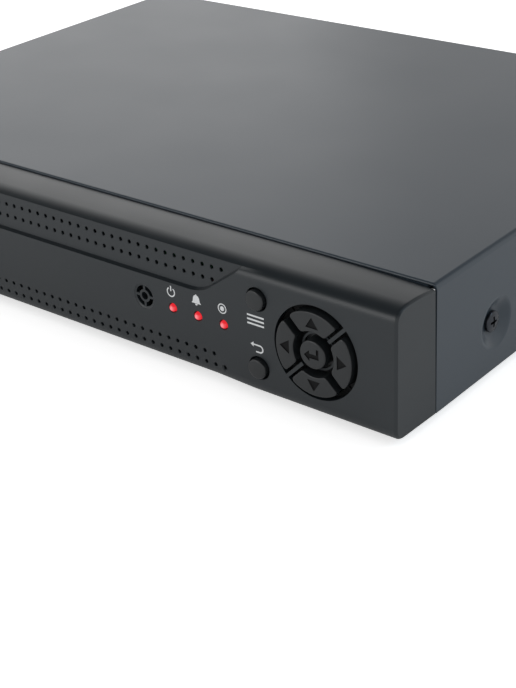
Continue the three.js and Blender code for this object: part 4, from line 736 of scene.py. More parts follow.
@dataclass
class FrontBezel:
    """The moulded front: a swept shell with two vent bands and openings for keys and lamps.

    Each vent row is given by its height and by how many holes it lacks at each end.
    """

    wall: float = 2
    floor_corner: float = 5
    roof_corner: float = 2.5
    end_reach: float = 0.8
    end_drop: float = 0.6
    end_break: float = 0.25
    sag_from: float = 100
    sag_gap: float = 0.5
    sag_stations: int = 7
    chin_depth: float = 3.6
    chin_rise: float = 5
    chin_pull: Point2 = (0.2, 0.9)
    chin_steps: int = 14
    overrun: float = 3
    round_start: float = 40.2
    round_rise: float = 3.4
    round_crest: Point2 = (7.9, 44.9)
    round_run: float = 4.7
    round_steps: int = 22
    rear_top: float = 44.25
    fall_steps: int = 6
    band_bottom: float = 31.3
    band_depth: float = 1.3
    band_slope: float = 0.04
    band_wall_share: float = 0.5
    band_flat: float = 68.5
    band_pull: float = 74.6
    band_curve_end: float = 78.5
    band_curve_rise: float = 3.4
    band_steps: int = 10
    band_run: float = 15.6
    band_rise: float = 11.4
    low_band_top: float = 13.3
    low_band_end_top: float = 7.5
    low_band_depth: float = 0.9
    low_band_lead: float = 0.05
    low_band_full: float = 77
    low_band_end: float = 95
    low_band_steps: int = 12
    vent_pitch: float = 4
    vent_columns: int = 42
    vent_rows: tuple[tuple[float, int], ...] = ((40.2, 0), (35.8, 1), (9.6, 1), (5.3, 0))
    vent_radius: float = 0.7
    vent_rim: float = 0.14
    vent_reach: float = 7
    trace_steps: int = 24

    def outline(self, inset: float = 0, sag: float = 0) -> np.ndarray:
        """The bezel's section in Y and Z, from its bottom rear edge round the front to the top rear.

        The bottom and the leaning face are straight with a round between them. A longer round runs
        from the face over to a crest, from which the top falls a little to the rear, where it ends
        a sheet's thickness below the cover. An inset moves each point inwards along its own normal.

        Args:
            inset: How far inside the true surface the outline lies.
            sag: How far the top rear edge is drawn forwards and down.

        Returns:
            The outline's points.
        """
        c = CASE
        start = (c.surface(self.round_start), self.round_start)
        rise = (c.surface(self.round_start + self.round_rise), self.round_start + self.round_rise)
        crest = self.round_crest
        high = bezier((start, rise, (crest[0] - self.round_run, crest[1]), crest), self.round_steps)
        rear = (c.bezel_depth - sag, self.rear_top - sag)
        fall = bezier((crest, ((crest[0] + c.bezel_depth) / 2, crest[1]), rear), self.fall_steps)
        low = self.bottom_round(0, self.chin_steps)
        points = np.vstack([[(c.bezel_depth, 0)], low, high, fall[1:]])
        along = np.gradient(points, axis=0)
        along[0], along[-1] = (-1, 0), (1, 0)
        return beside(points, along, inset)

    def bottom_round(self, sink: float, steps: int) -> np.ndarray:
        """The round from the bottom up to the face, moved back by sink."""
        face = sink + CASE.surface(self.chin_rise)
        pull = (face + self.chin_pull[0], self.chin_pull[1])
        return bezier(((face + self.chin_depth, CASE.bottom_tuck), pull, (face, self.chin_rise)), steps)

    def between_vents(self) -> np.ndarray:
        """The places along X that lie midway between the columns of vent holes."""
        reach = self.vent_pitch * self.vent_columns / 2
        return np.linspace(-reach, reach, self.vent_columns + 1)

    def body(self) -> Shell:
        """The outer form: the outline carried along X, drawn in at both ends in a soft chamfer.

        Past sag_from its top rear edge sags by sag_gap times the square of the share of the way left.
        """
        reach, drop, soft = self.end_reach, self.end_drop, self.end_break
        edge = filleted([(-reach - 2 * soft, 0), (-reach, 0), (0, drop), (0, drop + soft)], soft)
        x, inset = np.array(edge).T
        x = x + CASE.half
        outer = np.linspace(self.sag_from, x[0] - 1, self.sag_stations)
        middle = np.concatenate([-outer[::-1], self.between_vents(), outer])
        stations = np.concatenate([-x[::-1], middle, x])
        insets = np.concatenate([inset[::-1], np.zeros(len(middle)), inset])
        past = np.clip((np.abs(stations) - self.sag_from) / (CASE.half - self.sag_from), 0, 1)
        sags = self.sag_gap * past**2
        return prism([
            on_section(self.outline(depth, sag), place) for place, depth, sag in zip(stations, insets, sags)
        ])

    def hollow(self) -> Shell:
        """The space inside, open at the rear, with slanted corners along the front."""
        c = CASE
        inside = self.wall + c.lean
        top = c.height - self.wall
        rear = c.bezel_depth + self.overrun
        low, high = self.floor_corner, self.roof_corner
        outline = np.array([
            (rear, self.wall), (inside + low, self.wall), (inside, self.wall + low),
            (inside, top - high), (inside + high, top), (rear, top),
        ])
        half = c.half - self.wall
        return prism([on_section(outline, x) for x in (-half, half)])

    def band_edge(self, grow: float) -> np.ndarray:
        """The right half of the upper band's outline in X and Z, from its middle to its top.

        Its bottom is straight, and its end curves up into a slanted run.

        Args:
            grow: How far each point moves outwards along its own normal.

        Returns:
            The outline's points.
        """
        bottom = self.band_bottom
        last = (self.band_curve_end, bottom + self.band_curve_rise)
        curve = bezier(((self.band_flat, bottom), (self.band_pull, bottom), last), self.band_steps)
        end = curve[-1] + np.array([self.band_run, self.band_rise])
        line = np.vstack([[(0, bottom)], curve, end])
        return beside(line, np.gradient(line, axis=0), grow)

    def band(self) -> Shell:
        """The upper band's cutter: its back face leans back, and its walls slope steeply.

        At each station along X its section is a strip from above the case down to the outline, which
        is interpolated there, a little further out the further forward it lies.
        """
        right = self.band_edge(0)
        top = right[-1, 1]
        x = np.concatenate([self.between_vents(), right[1:, 0], -right[1:, 0]])
        x = np.unique(np.round(x[np.abs(x) <= right[-1, 0]], 6))
        surface = CASE.surface(self.band_bottom)
        lines = []
        for depth in (-self.overrun, self.band_depth):
            edge = self.band_edge(self.band_wall_share * (self.band_depth - depth))
            low = np.minimum(np.interp(np.abs(x), edge[:, 0], edge[:, 1]), top)
            heights = [low, np.full(len(x), top + self.overrun)]
            for z in heights if depth < 0 else reversed(heights):
                rise = z - self.band_bottom
                lines.append(np.column_stack([x, surface + depth + self.band_slope * rise, z]))
        return prism(np.stack(lines, axis=1))

    def low_band(self) -> Shell:
        """The lower band's cutter: a facet that sinks into the bottom round and fades out sideways."""
        full, lead = self.low_band_full, self.low_band_lead
        inner = self.between_vents()
        inner = inner[np.abs(inner) < full]
        rings = []
        for x in np.concatenate([[-self.low_band_end, -full], inner, [full, self.low_band_end]]):
            share = min((self.low_band_end - abs(x)) / (self.low_band_end - full), 1)
            sink = -lead + (self.low_band_depth + lead) * share
            top = self.low_band_end_top + (self.low_band_top - self.low_band_end_top) * share
            curve = self.bottom_round(sink, self.low_band_steps)
            outline = np.vstack([
                [(-self.overrun, -self.overrun), (curve[0, 0], -self.overrun)],
                curve,
                [(-lead, top), (-self.overrun, top)],
            ])
            rings.append(on_section(outline, x))
        return prism(rings)

    def band_surface(self, z: float) -> float:
        """How far back the vented surface lies at height z, on the middle of the bezel."""
        if z > self.band_bottom:
            foot = CASE.surface(self.band_bottom) + self.band_depth
            return foot + self.band_slope * (z - self.band_bottom)
        if z > self.chin_rise:
            share = (self.low_band_top - z) / (self.low_band_top - self.chin_rise)
            return self.low_band_depth * share
        curve = self.bottom_round(0, self.trace_steps)
        return self.low_band_depth + float(np.interp(z, curve[:, 1], curve[:, 0]))

    def vents(self) -> Shell:
        """The vent holes' cutters: straight holes whose rims widen a little at the surface."""
        shell = Shell()
        first = -self.vent_pitch * (self.vent_columns - 1) / 2
        radius, rim, reach = self.vent_radius, self.vent_rim, self.vent_reach
        flare = radius + rim
        profile = [
            (0, -CLEAR), (flare + CLEAR, -CLEAR), (flare, 0), (radius, rim), (radius, reach), (0, reach)
        ]
        for z, skip in self.vent_rows:
            y = self.band_surface(z)
            for column in range(skip, self.vent_columns - skip):
                shell.add_turned(profile, (first + column * self.vent_pitch, y, z), Axis.BACK, Sides.PIN)
        return shell

    def build(self) -> None:
        """Makes the bezel, with all its openings cut."""
        piece = self.body().make("bezel")
        for tool in (self.hollow(), self.band(), self.low_band(), self.vents(), *panel_cuts()):
            carve(piece, tool)
        even_normals(piece)
        finish_piece(piece, "case", MOULDED_ABS.material, ["front_bezel"])


@dataclass(frozen=True)
class PanelSizes:
    """Places and sizes of the keys, lamps and round grille on the face, in millimetres."""

    pad_x: float = 120
    pad_hole: float = 16
    ring_inner: float = 5.9
    ring_outer: float = 6.6
    ring_reach: float = 7.2
    ring_sink: float = 1.8
    half_ring_turns: Point2 = (135, 315)
    spoke_half: float = 0.6
    pad_key_inner: float = 7.75
    pad_key_outer: float = 14.5
    pad_key_half_gap: float = 1.5
    pad_key_proud: float = 1.5
    pad_key_edge: float = 0.45
    pad_key_corner: float = 9
    skirt_inner: float = 6.6
    skirt_outer: float = 16.8
    skirt_half_gap: float = 0.35
    enter_radius: float = 4.9
    enter_proud: float = 1.75
    enter_flange: float = 6.3
    key_x: float = 97.3
    key_spread: float = 12.105
    key_hole: float = 4.0
    key_radius: float = 3.5
    key_proud: float = 1.6
    key_flange: float = 5.0
    lamp_x: float = 72.2
    lamp_z: float = 21.7
    lamp_pitch: float = 10.95
    lamp_hole: float = 1.7
    lamp_radius: float = 1.42
    hole_rim: float = 0.18
    grille_x: float = 48.4
    grille_dish: float = 4.3
    grille_dish_depth: float = 0.35
    grille_brim: float = 0.3
    grille_brim_gap: float = 0.02
    grille_lip: float = 0.2
    grille_slope: float = 0.4
    grille_hole: float = 1.4
    grille_inner: float = 2.3
    grille_outer: float = 3.8
    grille_rib_half: float = 0.45
    wall_back: float = 2.6
    flange_front: float = 3.9
    flange_back: float = 4.7
    stem_end: float = 7.5
    stem_radius: float = 1.6
    stem_share: float = 0.66
    stem_set: float = 0.4


PANEL = PanelSizes()
QUARTERS = (("right", 0), ("up", 90), ("left", 180), ("down", 270))


@dataclass(frozen=True)
class Sector:
    """A piece of a ring whose straight sides stand off from two lines through its middle.

    Attributes:
        inner: Its inner radius.
        outer: Its outer radius.
        half_gap: How far its straight sides stand off from the lines.
        turn: Which way its middle points, in degrees.
        half_span: The angle from its middle to each line, in degrees.
        corner: How sharp its corners are, or 0 for quite sharp.
    """

    inner: float
    outer: float
    half_gap: float
    turn: float
    half_span: float = 45
    corner: float = 0

    def drawn_in(self, inset: float) -> "Sector":
        """The same form, smaller by inset on each side."""
        return replace(
            self, inner=self.inner + inset, outer=self.outer - inset, half_gap=self.half_gap + inset
        )

    def grid(self, rows: int, columns: int) -> np.ndarray:
        """Its points in X and Z.

        At radius r it reaches half_span less the angle whose sine is half_gap / r to either side. For
        round corners, each point (u, v) of the square from -1 to 1 is first drawn in towards the
        middle by max(|u|, |v|) / (|u|^p + |v|^p)^(1/p), where p is the corner value.

        Args:
            rows: How many steps it has from inner to outer.
            columns: How many steps it has along the arc.

        Returns:
            The grid of points.
        """
        u, v = np.meshgrid(np.linspace(-1, 1, rows + 1), np.linspace(-1, 1, columns + 1), indexing="ij")
        if self.corner:
            power = self.corner
            far = np.maximum(np.abs(u), np.abs(v))
            total = (np.abs(u) ** power + np.abs(v) ** power) ** (1 / power)
            scale = np.divide(far, total, out=np.ones_like(far), where=total > 0)
            u, v = u * scale, v * scale
        r = (self.inner + self.outer) / 2 + (self.outer - self.inner) / 2 * u
        limit = math.radians(self.half_span) - np.arcsin(self.half_gap / r)
        angle = limit * v + math.radians(self.turn)
        return np.stack([r * np.cos(angle), r * np.sin(angle)], axis=-1)


def sector_prism(sector: Sector, centre: Point2, span: Point2, columns: int = 12) -> Shell:
    """A piece of a ring round a centre in X and Z, as a closed body.

    Args:
        sector: The piece of a ring.
        centre: The ring's middle.
        span: The two depths between which it lies.
        columns: How many steps it has along the arc.

    Returns:
        The body.
    """
    rows = 3
    edge = edge_of(sector.grid(rows, columns))
    return prism([on_face(edge, *centre, y) for y in span])


def panel_cuts() -> list[Shell]:
    """The tools that open the face for the keys and lamps and form the round grille.

    Returns:
        The tools, in the order in which they are used.
    """
    p, middle = PANEL, CASE.middle
    face = CASE.surface(middle)
    start, back = -FAR_CLEAR, p.wall_back + FAR_CLEAR
    tools = []
    for turn in p.half_ring_turns:
        half_ring = Sector(p.ring_outer, p.pad_hole, p.spoke_half, turn, half_span=90)
        tools.append(sector_prism(half_ring, (p.pad_x, middle), (start, back), Sides.RING))
    tools.append(spun(rod(p.ring_reach, start, face + p.ring_sink), p.pad_x, middle, Sides.RING))
    round_holes = Shell()
    holes = [(p.pad_x, middle, p.ring_inner, Sides.SOCKET)]
    holes += [(p.key_x, middle + side * p.key_spread, p.key_hole, Sides.DISC) for side in (-1, 1)]
    holes += [(p.lamp_x + step * p.lamp_pitch, p.lamp_z, p.lamp_hole, Sides.BORE) for step in (-1, 0, 1)]
    for x, z, radius, sides in holes:
        front, rim = CASE.surface(z), p.hole_rim
        profile = [
            (0, start), (radius + FAR_CLEAR, start), (radius + rim, front), (radius, front + rim),
            (radius, back), (0, back),
        ]
        round_holes.add_turned(profile, (x, 0, z), Axis.BACK, sides)
    tools.append(round_holes)
    dish, floor = p.grille_dish, face + p.grille_dish_depth
    brim = dish + p.grille_brim
    profile = [
        (0, start), (brim, start), (brim, face - p.grille_brim_gap), (dish, face + p.grille_lip),
        (dish - p.grille_slope, floor), (0, floor),
    ]
    tools.append(spun(profile, p.grille_x, middle, Sides.DISC))
    for _, turn in QUARTERS:
        slot = Sector(p.grille_inner, p.grille_outer, p.grille_rib_half, turn + Sector.half_span)
        tools.append(sector_prism(slot, (p.grille_x, middle), (start, back)))
    tools.append(spun(rod(p.grille_hole, start, back), p.grille_x, middle, Sides.BORE))
    return tools


@dataclass(frozen=True)
class RoundKey:
    """The place and size of one round key, in millimetres."""

    name: str
    x: float
    z: float
    radius: float
    proud: float
    flange: float


ROUND_KEYS = (
    RoundKey("enter", PANEL.pad_x, CASE.middle, PANEL.enter_radius, PANEL.enter_proud, PANEL.enter_flange),
    *(
        RoundKey(
            name, PANEL.key_x, CASE.middle + side * PANEL.key_spread,
            PANEL.key_radius, PANEL.key_proud, PANEL.key_flange,
        )
        for name, side in (("menu", 1), ("back", -1))
    ),
)
# The outlines of the direction keys' triangle and the enter key's bent arrow, as shares of their size
TRIANGLE = np.array([(-1 / 2, -1), (1, 0), (-1 / 2, 1)])
BENT_ARROW = np.array([
    (-1, -1 / 8), (-1 / 3, 1 / 2), (-1 / 3, 1 / 8), (1 / 2, 1 / 8), (1 / 2, 3 / 4),
    (4 / 5, 3 / 4), (4 / 5, -3 / 8), (-1 / 3, -3 / 8), (-1 / 3, -3 / 4),
])


@dataclass
class KeyPad:
    """The seven keys: four quarter-ring keys round the enter key, and two round keys beside them."""

    crown: float = 0.12
    crown_rings: int = 8
    round_edge: float = 0.6
    round_edge_steps: int = 7
    rows: int = 10
    columns: int = 24
    mark_depth: float = 0.35
    mark_place: float = 10.35
    mark_size: float = 2.4
    mark_flare: Point2 = (1.6, 0.85)
    enter_mark_size: float = 3.1

    def sheet(self, grid: np.ndarray, centre: Point2, y: float | np.ndarray) -> np.ndarray:
        """Places a grid in X and Z round a key's middle, at one depth or at a grid of depths."""
        depths = np.broadcast_to(y, grid.shape[:2])
        return np.stack([grid[..., 0] + centre[0], depths, grid[..., 1] + centre[1]], axis=-1)

    def cap(self, plan: Sector, centre: Point2, front: float) -> Shell:
        """A quarter-ring key's cap, without its skirt.

        Its rim is a quarter round: at angle a its outline is drawn in by edge (1 - cos a) and lies
        edge (1 - sin a) behind the top. The top is a grid that rises by crown (1 - u^2)(1 - v^2) over
        its two parameters.

        Args:
            plan: Its outline at its foot.
            centre: The pad's middle in X and Z.
            front: The depth of its highest point.

        Returns:
            The closed cap.
        """
        p, rows, columns = PANEL, self.rows, self.columns
        edge = p.pad_key_edge
        back = plan.grid(rows, columns)
        rings = [on_face(edge_of(back), *centre, p.flange_back)]
        for angle in quarter():
            ring = edge_of(plan.drawn_in(edge * (1 - math.cos(angle))).grid(rows, columns))
            rings.append(on_face(ring, *centre, front + self.crown + edge * (1 - math.sin(angle))))
        shell = Shell()
        shell.add_grid(np.array(rings), wrap_columns=True)
        u = np.linspace(-1, 1, rows + 1)[:, None]
        v = np.linspace(-1, 1, columns + 1)[None]
        y = front + self.crown - self.crown * (1 - u**2) * (1 - v**2)
        shell.add_grid(self.sheet(plan.drawn_in(edge).grid(rows, columns), centre, y))
        shell.add_grid(self.sheet(back, centre, p.flange_back))
        return shell

    def pad_key(self, name: str, turn: float) -> None:
        """Makes one quarter-ring key, with its mark, its retaining skirt and its stem.

        Args:
            name: Which key it is.
            turn: Which way it lies from the pad's middle, in degrees.
        """
        p = PANEL
        centre = (p.pad_x, CASE.middle)
        front = CASE.surface(CASE.middle) - p.pad_key_proud
        plan = Sector(p.pad_key_inner, p.pad_key_outer, p.pad_key_half_gap, turn, corner=p.pad_key_corner)
        piece = self.cap(plan, centre, front).make(f"{name}_key")
        piece.data.materials.append(KEY_ABS.material)
        mark = self.mark(TRIANGLE * self.mark_size, centre, front, turn, self.mark_place, self.mark_flare)
        carve(piece, mark, lining=DARK_MARK_FILL.material)
        behind = Sector(p.skirt_inner, p.skirt_outer, p.skirt_half_gap, turn)
        skirt = sector_prism(behind, centre, (p.flange_front, p.flange_back))
        # The skirt's colour is painted dark, as the shade in the gaps between the keys
        carve(piece, skirt, Cut.ONTO, lining=SKIRT_ABS_PAINTED_SHADE.material)
        reach = p.stem_share * p.pad_hole
        x = centre[0] + reach * math.cos(math.radians(turn))
        z = centre[1] + reach * math.sin(math.radians(turn))
        stem = rod(p.stem_radius, p.flange_front + p.stem_set, p.stem_end)
        carve(piece, spun(stem, x, z, Sides.BORE), Cut.ONTO)
        finish_piece(piece, f"{name}_key", KEY_ABS.material, [f"{name}_button"])

    def mark(
        self,
        shape: np.ndarray,
        centre: Point2,
        top: float,
        turn: float = 0,
        place: float = 0,
        flare: Point2 = (1, 1),
    ) -> Shell:
        """A sunken mark's cutter.

        Args:
            shape: The mark's outline about its own middle.
            centre: The key's middle.
            top: The depth at which the key's surface lies.
            turn: The turn in degrees.
            place: How far out along the turned X axis its middle lies.
            flare: How large it is at its two ends, where it starts before the surface and where it ends.

        Returns:
            The cutter.
        """
        angle = math.radians(turn)
        spin = np.array([[math.cos(angle), math.sin(angle)], [-math.sin(angle), math.cos(angle)]])
        ends = zip(flare, (top - CLEAR, top + self.mark_depth))
        return prism([on_face((shape * size + np.array([place, 0])) @ spin, *centre, y) for size, y in ends])

    def round_key(self, key: RoundKey) -> None:
        """Makes one round key: a low dome with a rounded rim, on a flange and a stem.

        Args:
            key: Its place and size. The enter key also gets its mark.
        """
        p = PANEL
        front = CASE.surface(key.z) - key.proud
        reach = key.radius - self.round_edge
        profile = [
            *domed(reach, front, self.crown, self.crown_rings),
            *rounded_rim(reach, front + self.crown, self.round_edge, self.round_edge_steps),
            (key.radius, p.flange_front), (key.flange, p.flange_front), (key.flange, p.flange_back),
            (p.stem_radius, p.flange_back), (p.stem_radius, p.stem_end), (0, p.stem_end),
        ]
        piece = spun(profile, key.x, key.z, Sides.RING).make(f"{key.name}_key")
        if key.name == "enter":
            piece.data.materials.append(KEY_ABS.material)
            arrow = self.mark(BENT_ARROW * self.enter_mark_size, (key.x, key.z), front)
            carve(piece, arrow, lining=DARK_MARK_FILL.material)
        finish_piece(piece, f"{key.name}_key", KEY_ABS.material, [f"{key.name}_button"])

    def build(self) -> None:
        """Makes all seven keys."""
        for name, turn in QUARTERS:
            self.pad_key(name, turn)
        for key in ROUND_KEYS:
            self.round_key(key)


@dataclass
class Lamps:
    """Three lit lamps in the face."""

    proud: float = 0.9
    length: float = 5.6
    ball_steps: int = 10
    collar: float = 1.9
    collar_thick: float = 1
    core_share: float = 0.75
    edge_level: float = 0.05

    def build(self) -> None:
        """Makes the lamps: each a lit half ball on a dark stem with a collar.

        The level falls evenly from 1 at the pole to its edge value at core_share of the radius.
        """
        p = PANEL
        front, radius = CASE.surface(p.lamp_z) - self.proud, p.lamp_radius
        ball = rounded_rim(0, front, radius, self.ball_steps)
        end = front + self.length
        step = end - self.collar_thick
        profile = [*ball, (radius, step), (self.collar, step), (self.collar, end), (0, end)]
        share = np.array([max(0.0, 1 - r / (self.core_share * radius)) for r, _ in profile])
        level = self.edge_level + (1 - self.edge_level) * share
        level[len(ball):] = 0
        for place, name in ((-1, "power_lamp"), (0, "alarm_lamp"), (1, "recording_lamp")):
            shell = spun(profile, p.lamp_x + place * p.lamp_pitch, p.lamp_z, Sides.STEM)
            shell.levels = np.repeat(level, Sides.STEM)
            piece = shell.make(f"{name}_dome")
            finish_piece(piece, "case", LIT_LAMP.material, [name])


@dataclass
class Prints:
    """Plain white signs by the lamps and round keys, printed on the face, sized in millimetres."""

    thick: float = 0.02
    steps: int = 40
    dot_middle: float = 0.01
    lamp_signs: Point3 = (60.9, 71.9, 82.9)
    lamp_signs_z: float = 27.4
    menu_place: Point2 = (96.6, 27.0)
    back_place: Point2 = (96.9, 17.2)
    radius: float = 1.8
    power_inner: float = 1.35
    power_gap: float = 35
    power_bar: tuple[Point2, Point2] = ((-0.24, 0.3), (0.24, 2.2))
    record_inner: float = 1.4
    record_dot: float = 0.85
    bell_crown: float = 0.35
    bell_swell: float = 1.05
    bell_shoulder: float = 1.6
    bell_lip: float = 0.7
    bell_lip_power: int = 6
    bell_top: float = 1.7
    bell_height: float = 2.9
    bell_steps: int = 16
    clapper: float = 0.55
    clapper_z: float = -1.35
    knob: float = 0.3
    knob_z: float = 1.75
    menu_half: float = 3.4
    menu_bar_half: float = 0.3
    menu_pitch: float = 1.45
    hook_inner: float = 0.95
    hook_outer: float = 1.45
    hook_x: float = 1.0
    hook_starts: Point2 = (-1.6, -0.6)
    arrow_tip: float = -2.7
    arrow_base: float = -1.5
    arrow_half: float = 0.9

    def plate(self, shell: Shell, grid: np.ndarray, x: float, z: float) -> None:
        """Adds one flat stroke: a grid in X and Z laid on the leaning face, with a thickness."""
        flat = grid.reshape(-1, 2) + np.array([x, z])
        front = CASE.surface(flat[:, 1]) - self.thick
        sheet = np.column_stack([flat[:, 0], front, flat[:, 1]]).reshape(*grid.shape[:2], 3)
        both = (sheet, sheet + np.array([0, self.thick / 2, 0]))
        for side in both:
            shell.add_grid(side)
        shell.add_grid(np.stack([edge_of(side) for side in both]), wrap_columns=True)

    def ring(self, inner: float, outer: float, start: float = 0, end: float = 360) -> np.ndarray:
        """A stroke along part of a circle, between two angles in degrees."""
        angle = arc(start, end, self.steps)[None]
        r = np.array([[inner], [outer]])
        return np.stack([r * np.cos(angle), r * np.sin(angle)], axis=-1)

    def bar(self, low: Point2, high: Point2) -> np.ndarray:
        """A straight stroke between two corners."""
        (x0, z0), (x1, z1) = low, high
        return np.array([[(x0, z0), (x1, z0)], [(x0, z1), (x1, z1)]], float)

    def power(self) -> list[np.ndarray]:
        """A ring, open at its top, with an upright bar."""
        top = 90
        ring = self.ring(self.power_inner, self.radius, top + self.power_gap, top + 360 - self.power_gap)
        return [ring, self.bar(*self.power_bar)]

    def bell(self) -> list[np.ndarray]:
        """A bell over a clapper, with a knob.

        At share t of the way down its half width is crown + swell sqrt(1 - (1 - shoulder t)^2) + lip
        t^6, where shoulder t stays at 1 once it gets there.
        """
        t = np.linspace(0, 1, self.bell_steps)
        bulge = np.sqrt(np.clip(1 - (1 - np.minimum(t * self.bell_shoulder, 1)) ** 2, 0, 1))
        half = self.bell_crown + self.bell_swell * bulge + self.bell_lip * t**self.bell_lip_power
        z = self.bell_top - self.bell_height * t
        body = np.stack([np.stack([-half, z], axis=-1), np.stack([half, z], axis=-1)])
        clapper = self.ring(self.dot_middle, self.clapper, 180, 360) + np.array([0, self.clapper_z])
        knob = self.ring(self.dot_middle, self.knob) + np.array([0, self.knob_z])
        return [body, clapper, knob]

    def record(self) -> list[np.ndarray]:
        """A dot in a ring."""
        return [self.ring(self.record_inner, self.radius), self.ring(self.dot_middle, self.record_dot)]

    def menu(self) -> list[np.ndarray]:
        """Three level bars."""
        half, thin = self.menu_half, self.menu_bar_half
        return [self.bar((-half, z - thin), (half, z + thin)) for z in (-self.menu_pitch, 0, self.menu_pitch)]

    def back(self) -> list[np.ndarray]:
        """An arrow that turns back: a half ring between two bars, the upper one with a head."""
        inner, outer, x = self.hook_inner, self.hook_outer, self.hook_x
        upper, lower = self.hook_starts
        z = (inner + outer) / 2
        tip, base, half = (self.arrow_tip, z), self.arrow_base, self.arrow_half
        return [
            self.ring(inner, outer, -90, 90) + np.array([x, 0]),
            self.bar((upper, inner), (x, outer)),
            self.bar((lower, -outer), (x, -inner)),
            np.array([[tip, tip], [(base, z - half), (base, z + half)]]),
        ]

    def build(self) -> None:
        """Makes the signs as one printed piece each."""
        power, alarm, record = ((x, self.lamp_signs_z) for x in self.lamp_signs)
        signs = (
            ("power", power, self.power()),
            ("alarm", alarm, self.bell()),
            ("record", record, self.record()),
            ("menu", self.menu_place, self.menu()),
            ("back", self.back_place, self.back()),
        )
        for name, place, strokes in signs:
            shell = Shell()
            for stroke in strokes:
                self.plate(shell, stroke, *place)
            piece = shell.make(f"{name}_print")
            finish_piece(piece, "case", WHITE_INK.material)


@dataclass
class TopCover:
    """The folded cover, with a rolled front edge and four pressed dimples."""

    bend: float = 1.9
    bend_steps: int = 8
    roll: float = 0.65
    side_break: float = 0.12
    dimple_mouth: float = 8.75
    dimple_floor: float = 4.8
    dimple_depth: float = 2.4
    dimple_flare: float = 1.5
    dimple_round: float = 1.1
    dimple_round_steps: int = 5
    dimple_gap: float = 0.004
    hole: float = 1.7
    hole_reach: float = 5
    lip_inset: float = 3.2
    lip_gap: float = 0.02
    lip_drop: float = 1
    screw_z: float = 17
    screw_ys: Point2 = (57.1, 190)

    def section(self, inset: float | np.ndarray) -> np.ndarray:
        """The cover's outline in X and Z, from its lower right edge over the top to its lower left.

        The sides and top are straight and the corners quarter rounds.

        Args:
            inset: How far each point moves inwards, one value for all or one for each.

        Returns:
            The outline's points.
        """
        c = CASE
        angles = quarter(self.bend_steps)
        way = np.column_stack([np.cos(angles), np.sin(angles)])
        centre = np.array([c.half - self.bend, c.height - self.bend])
        points = np.vstack([[(c.half, c.cover_lift)], centre + self.bend * way])
        inward = np.vstack([[(-1, 0)], -way])
        mirror = np.array([-1, 1])
        points = np.vstack([points, points[::-1] * mirror])
        inward = np.vstack([inward, inward[::-1] * mirror])
        return points + np.reshape(inset, (-1, 1)) * inward

    def roll_radius(self) -> np.ndarray:
        """How far the front edge is rolled at each outline point: fully on the top, hardly on the sides."""
        share = np.concatenate([[0], np.linspace(0, 1, self.bend_steps + 1)])
        radius = self.side_break + (self.roll - self.side_break) * share
        return np.concatenate([radius, radius[::-1]])

    def outer(self) -> Shell:
        """The outside form: the outline carried back, its front drawn in along a quarter round."""
        radius = self.roll_radius()
        rings = []
        for angle in quarter():
            y = CASE.cover_front + radius * (1 - math.cos(angle))
            rings.append(on_face(self.section(radius * (1 - math.sin(angle))), 0, 0, y))
        rings.append(on_face(self.section(0), 0, 0, CASE.depth))
        return prism(rings)

    def inner(self) -> Shell:
        """The space inside the sheet."""
        c = CASE
        outline = self.section(c.sheet)
        outline[[0, -1], 1] = c.cover_lift - FAR_CLEAR
        return prism([on_face(outline, 0, 0, y) for y in (c.cover_front - FAR_CLEAR, c.depth + FAR_CLEAR)])

    def dimple(self, side: int, y: float, grow: float, low: float, high: float) -> Shell:
        """A dimple's form: a flat floor, a cone, and a mouth that flares into the panel.

        Args:
            side: 1 for the right side and -1 for the left.
            y: Where its middle lies along the case.
            grow: How much larger than the pressed face it is all round, or 0 for the face itself.
            low: Where the floor lies, from the case's middle plane.
            high: Where the mouth ends.

        Returns:
            The closed form.
        """
        floor, mouth = self.dimple_floor + grow, self.dimple_mouth + grow
        profile = [(0, low), (floor, low), (mouth, high)]
        if not grow:
            profile.append((mouth + self.dimple_flare, high))
            profile = filleted(profile, self.dimple_round, self.dimple_round_steps)
            high += FAR_CLEAR
        closed = [*profile, (profile[-1][0], high), (0, high)]
        return turned(closed, (0, y, self.screw_z), outward(side), Sides.BOWL)

    def build(self) -> None:
        """Makes the cover, with its front lip."""
        c = CASE
        piece = self.outer().make("cover")
        carve(piece, self.inner())
        places = [(side, y) for side in (1, -1) for y in self.screw_ys]
        floor = c.half - self.dimple_depth
        for side, y in places:
            carve(piece, self.dimple(side, y, c.sheet, floor - c.sheet, c.half - c.sheet / 2), Cut.ONTO)
        for side, y in places:
            carve(piece, self.dimple(side, y, 0, floor, c.half + self.dimple_gap))
            hole = rod(self.hole, c.half - self.hole_reach, c.half)
            carve(piece, turned(hole, (0, y, self.screw_z), outward(side), Sides.BORE))
        half, low = c.half - self.lip_inset, c.height - self.lip_inset
        depths = (c.cover_front + self.lip_gap, c.cover_front + c.sheet)
        carve(piece, block((-half, half), depths, (low, c.height - self.lip_drop)), Cut.ONTO)
        even_normals(piece)
        finish_piece(piece, "case", POWDER_COAT.material, ["top_cover"])


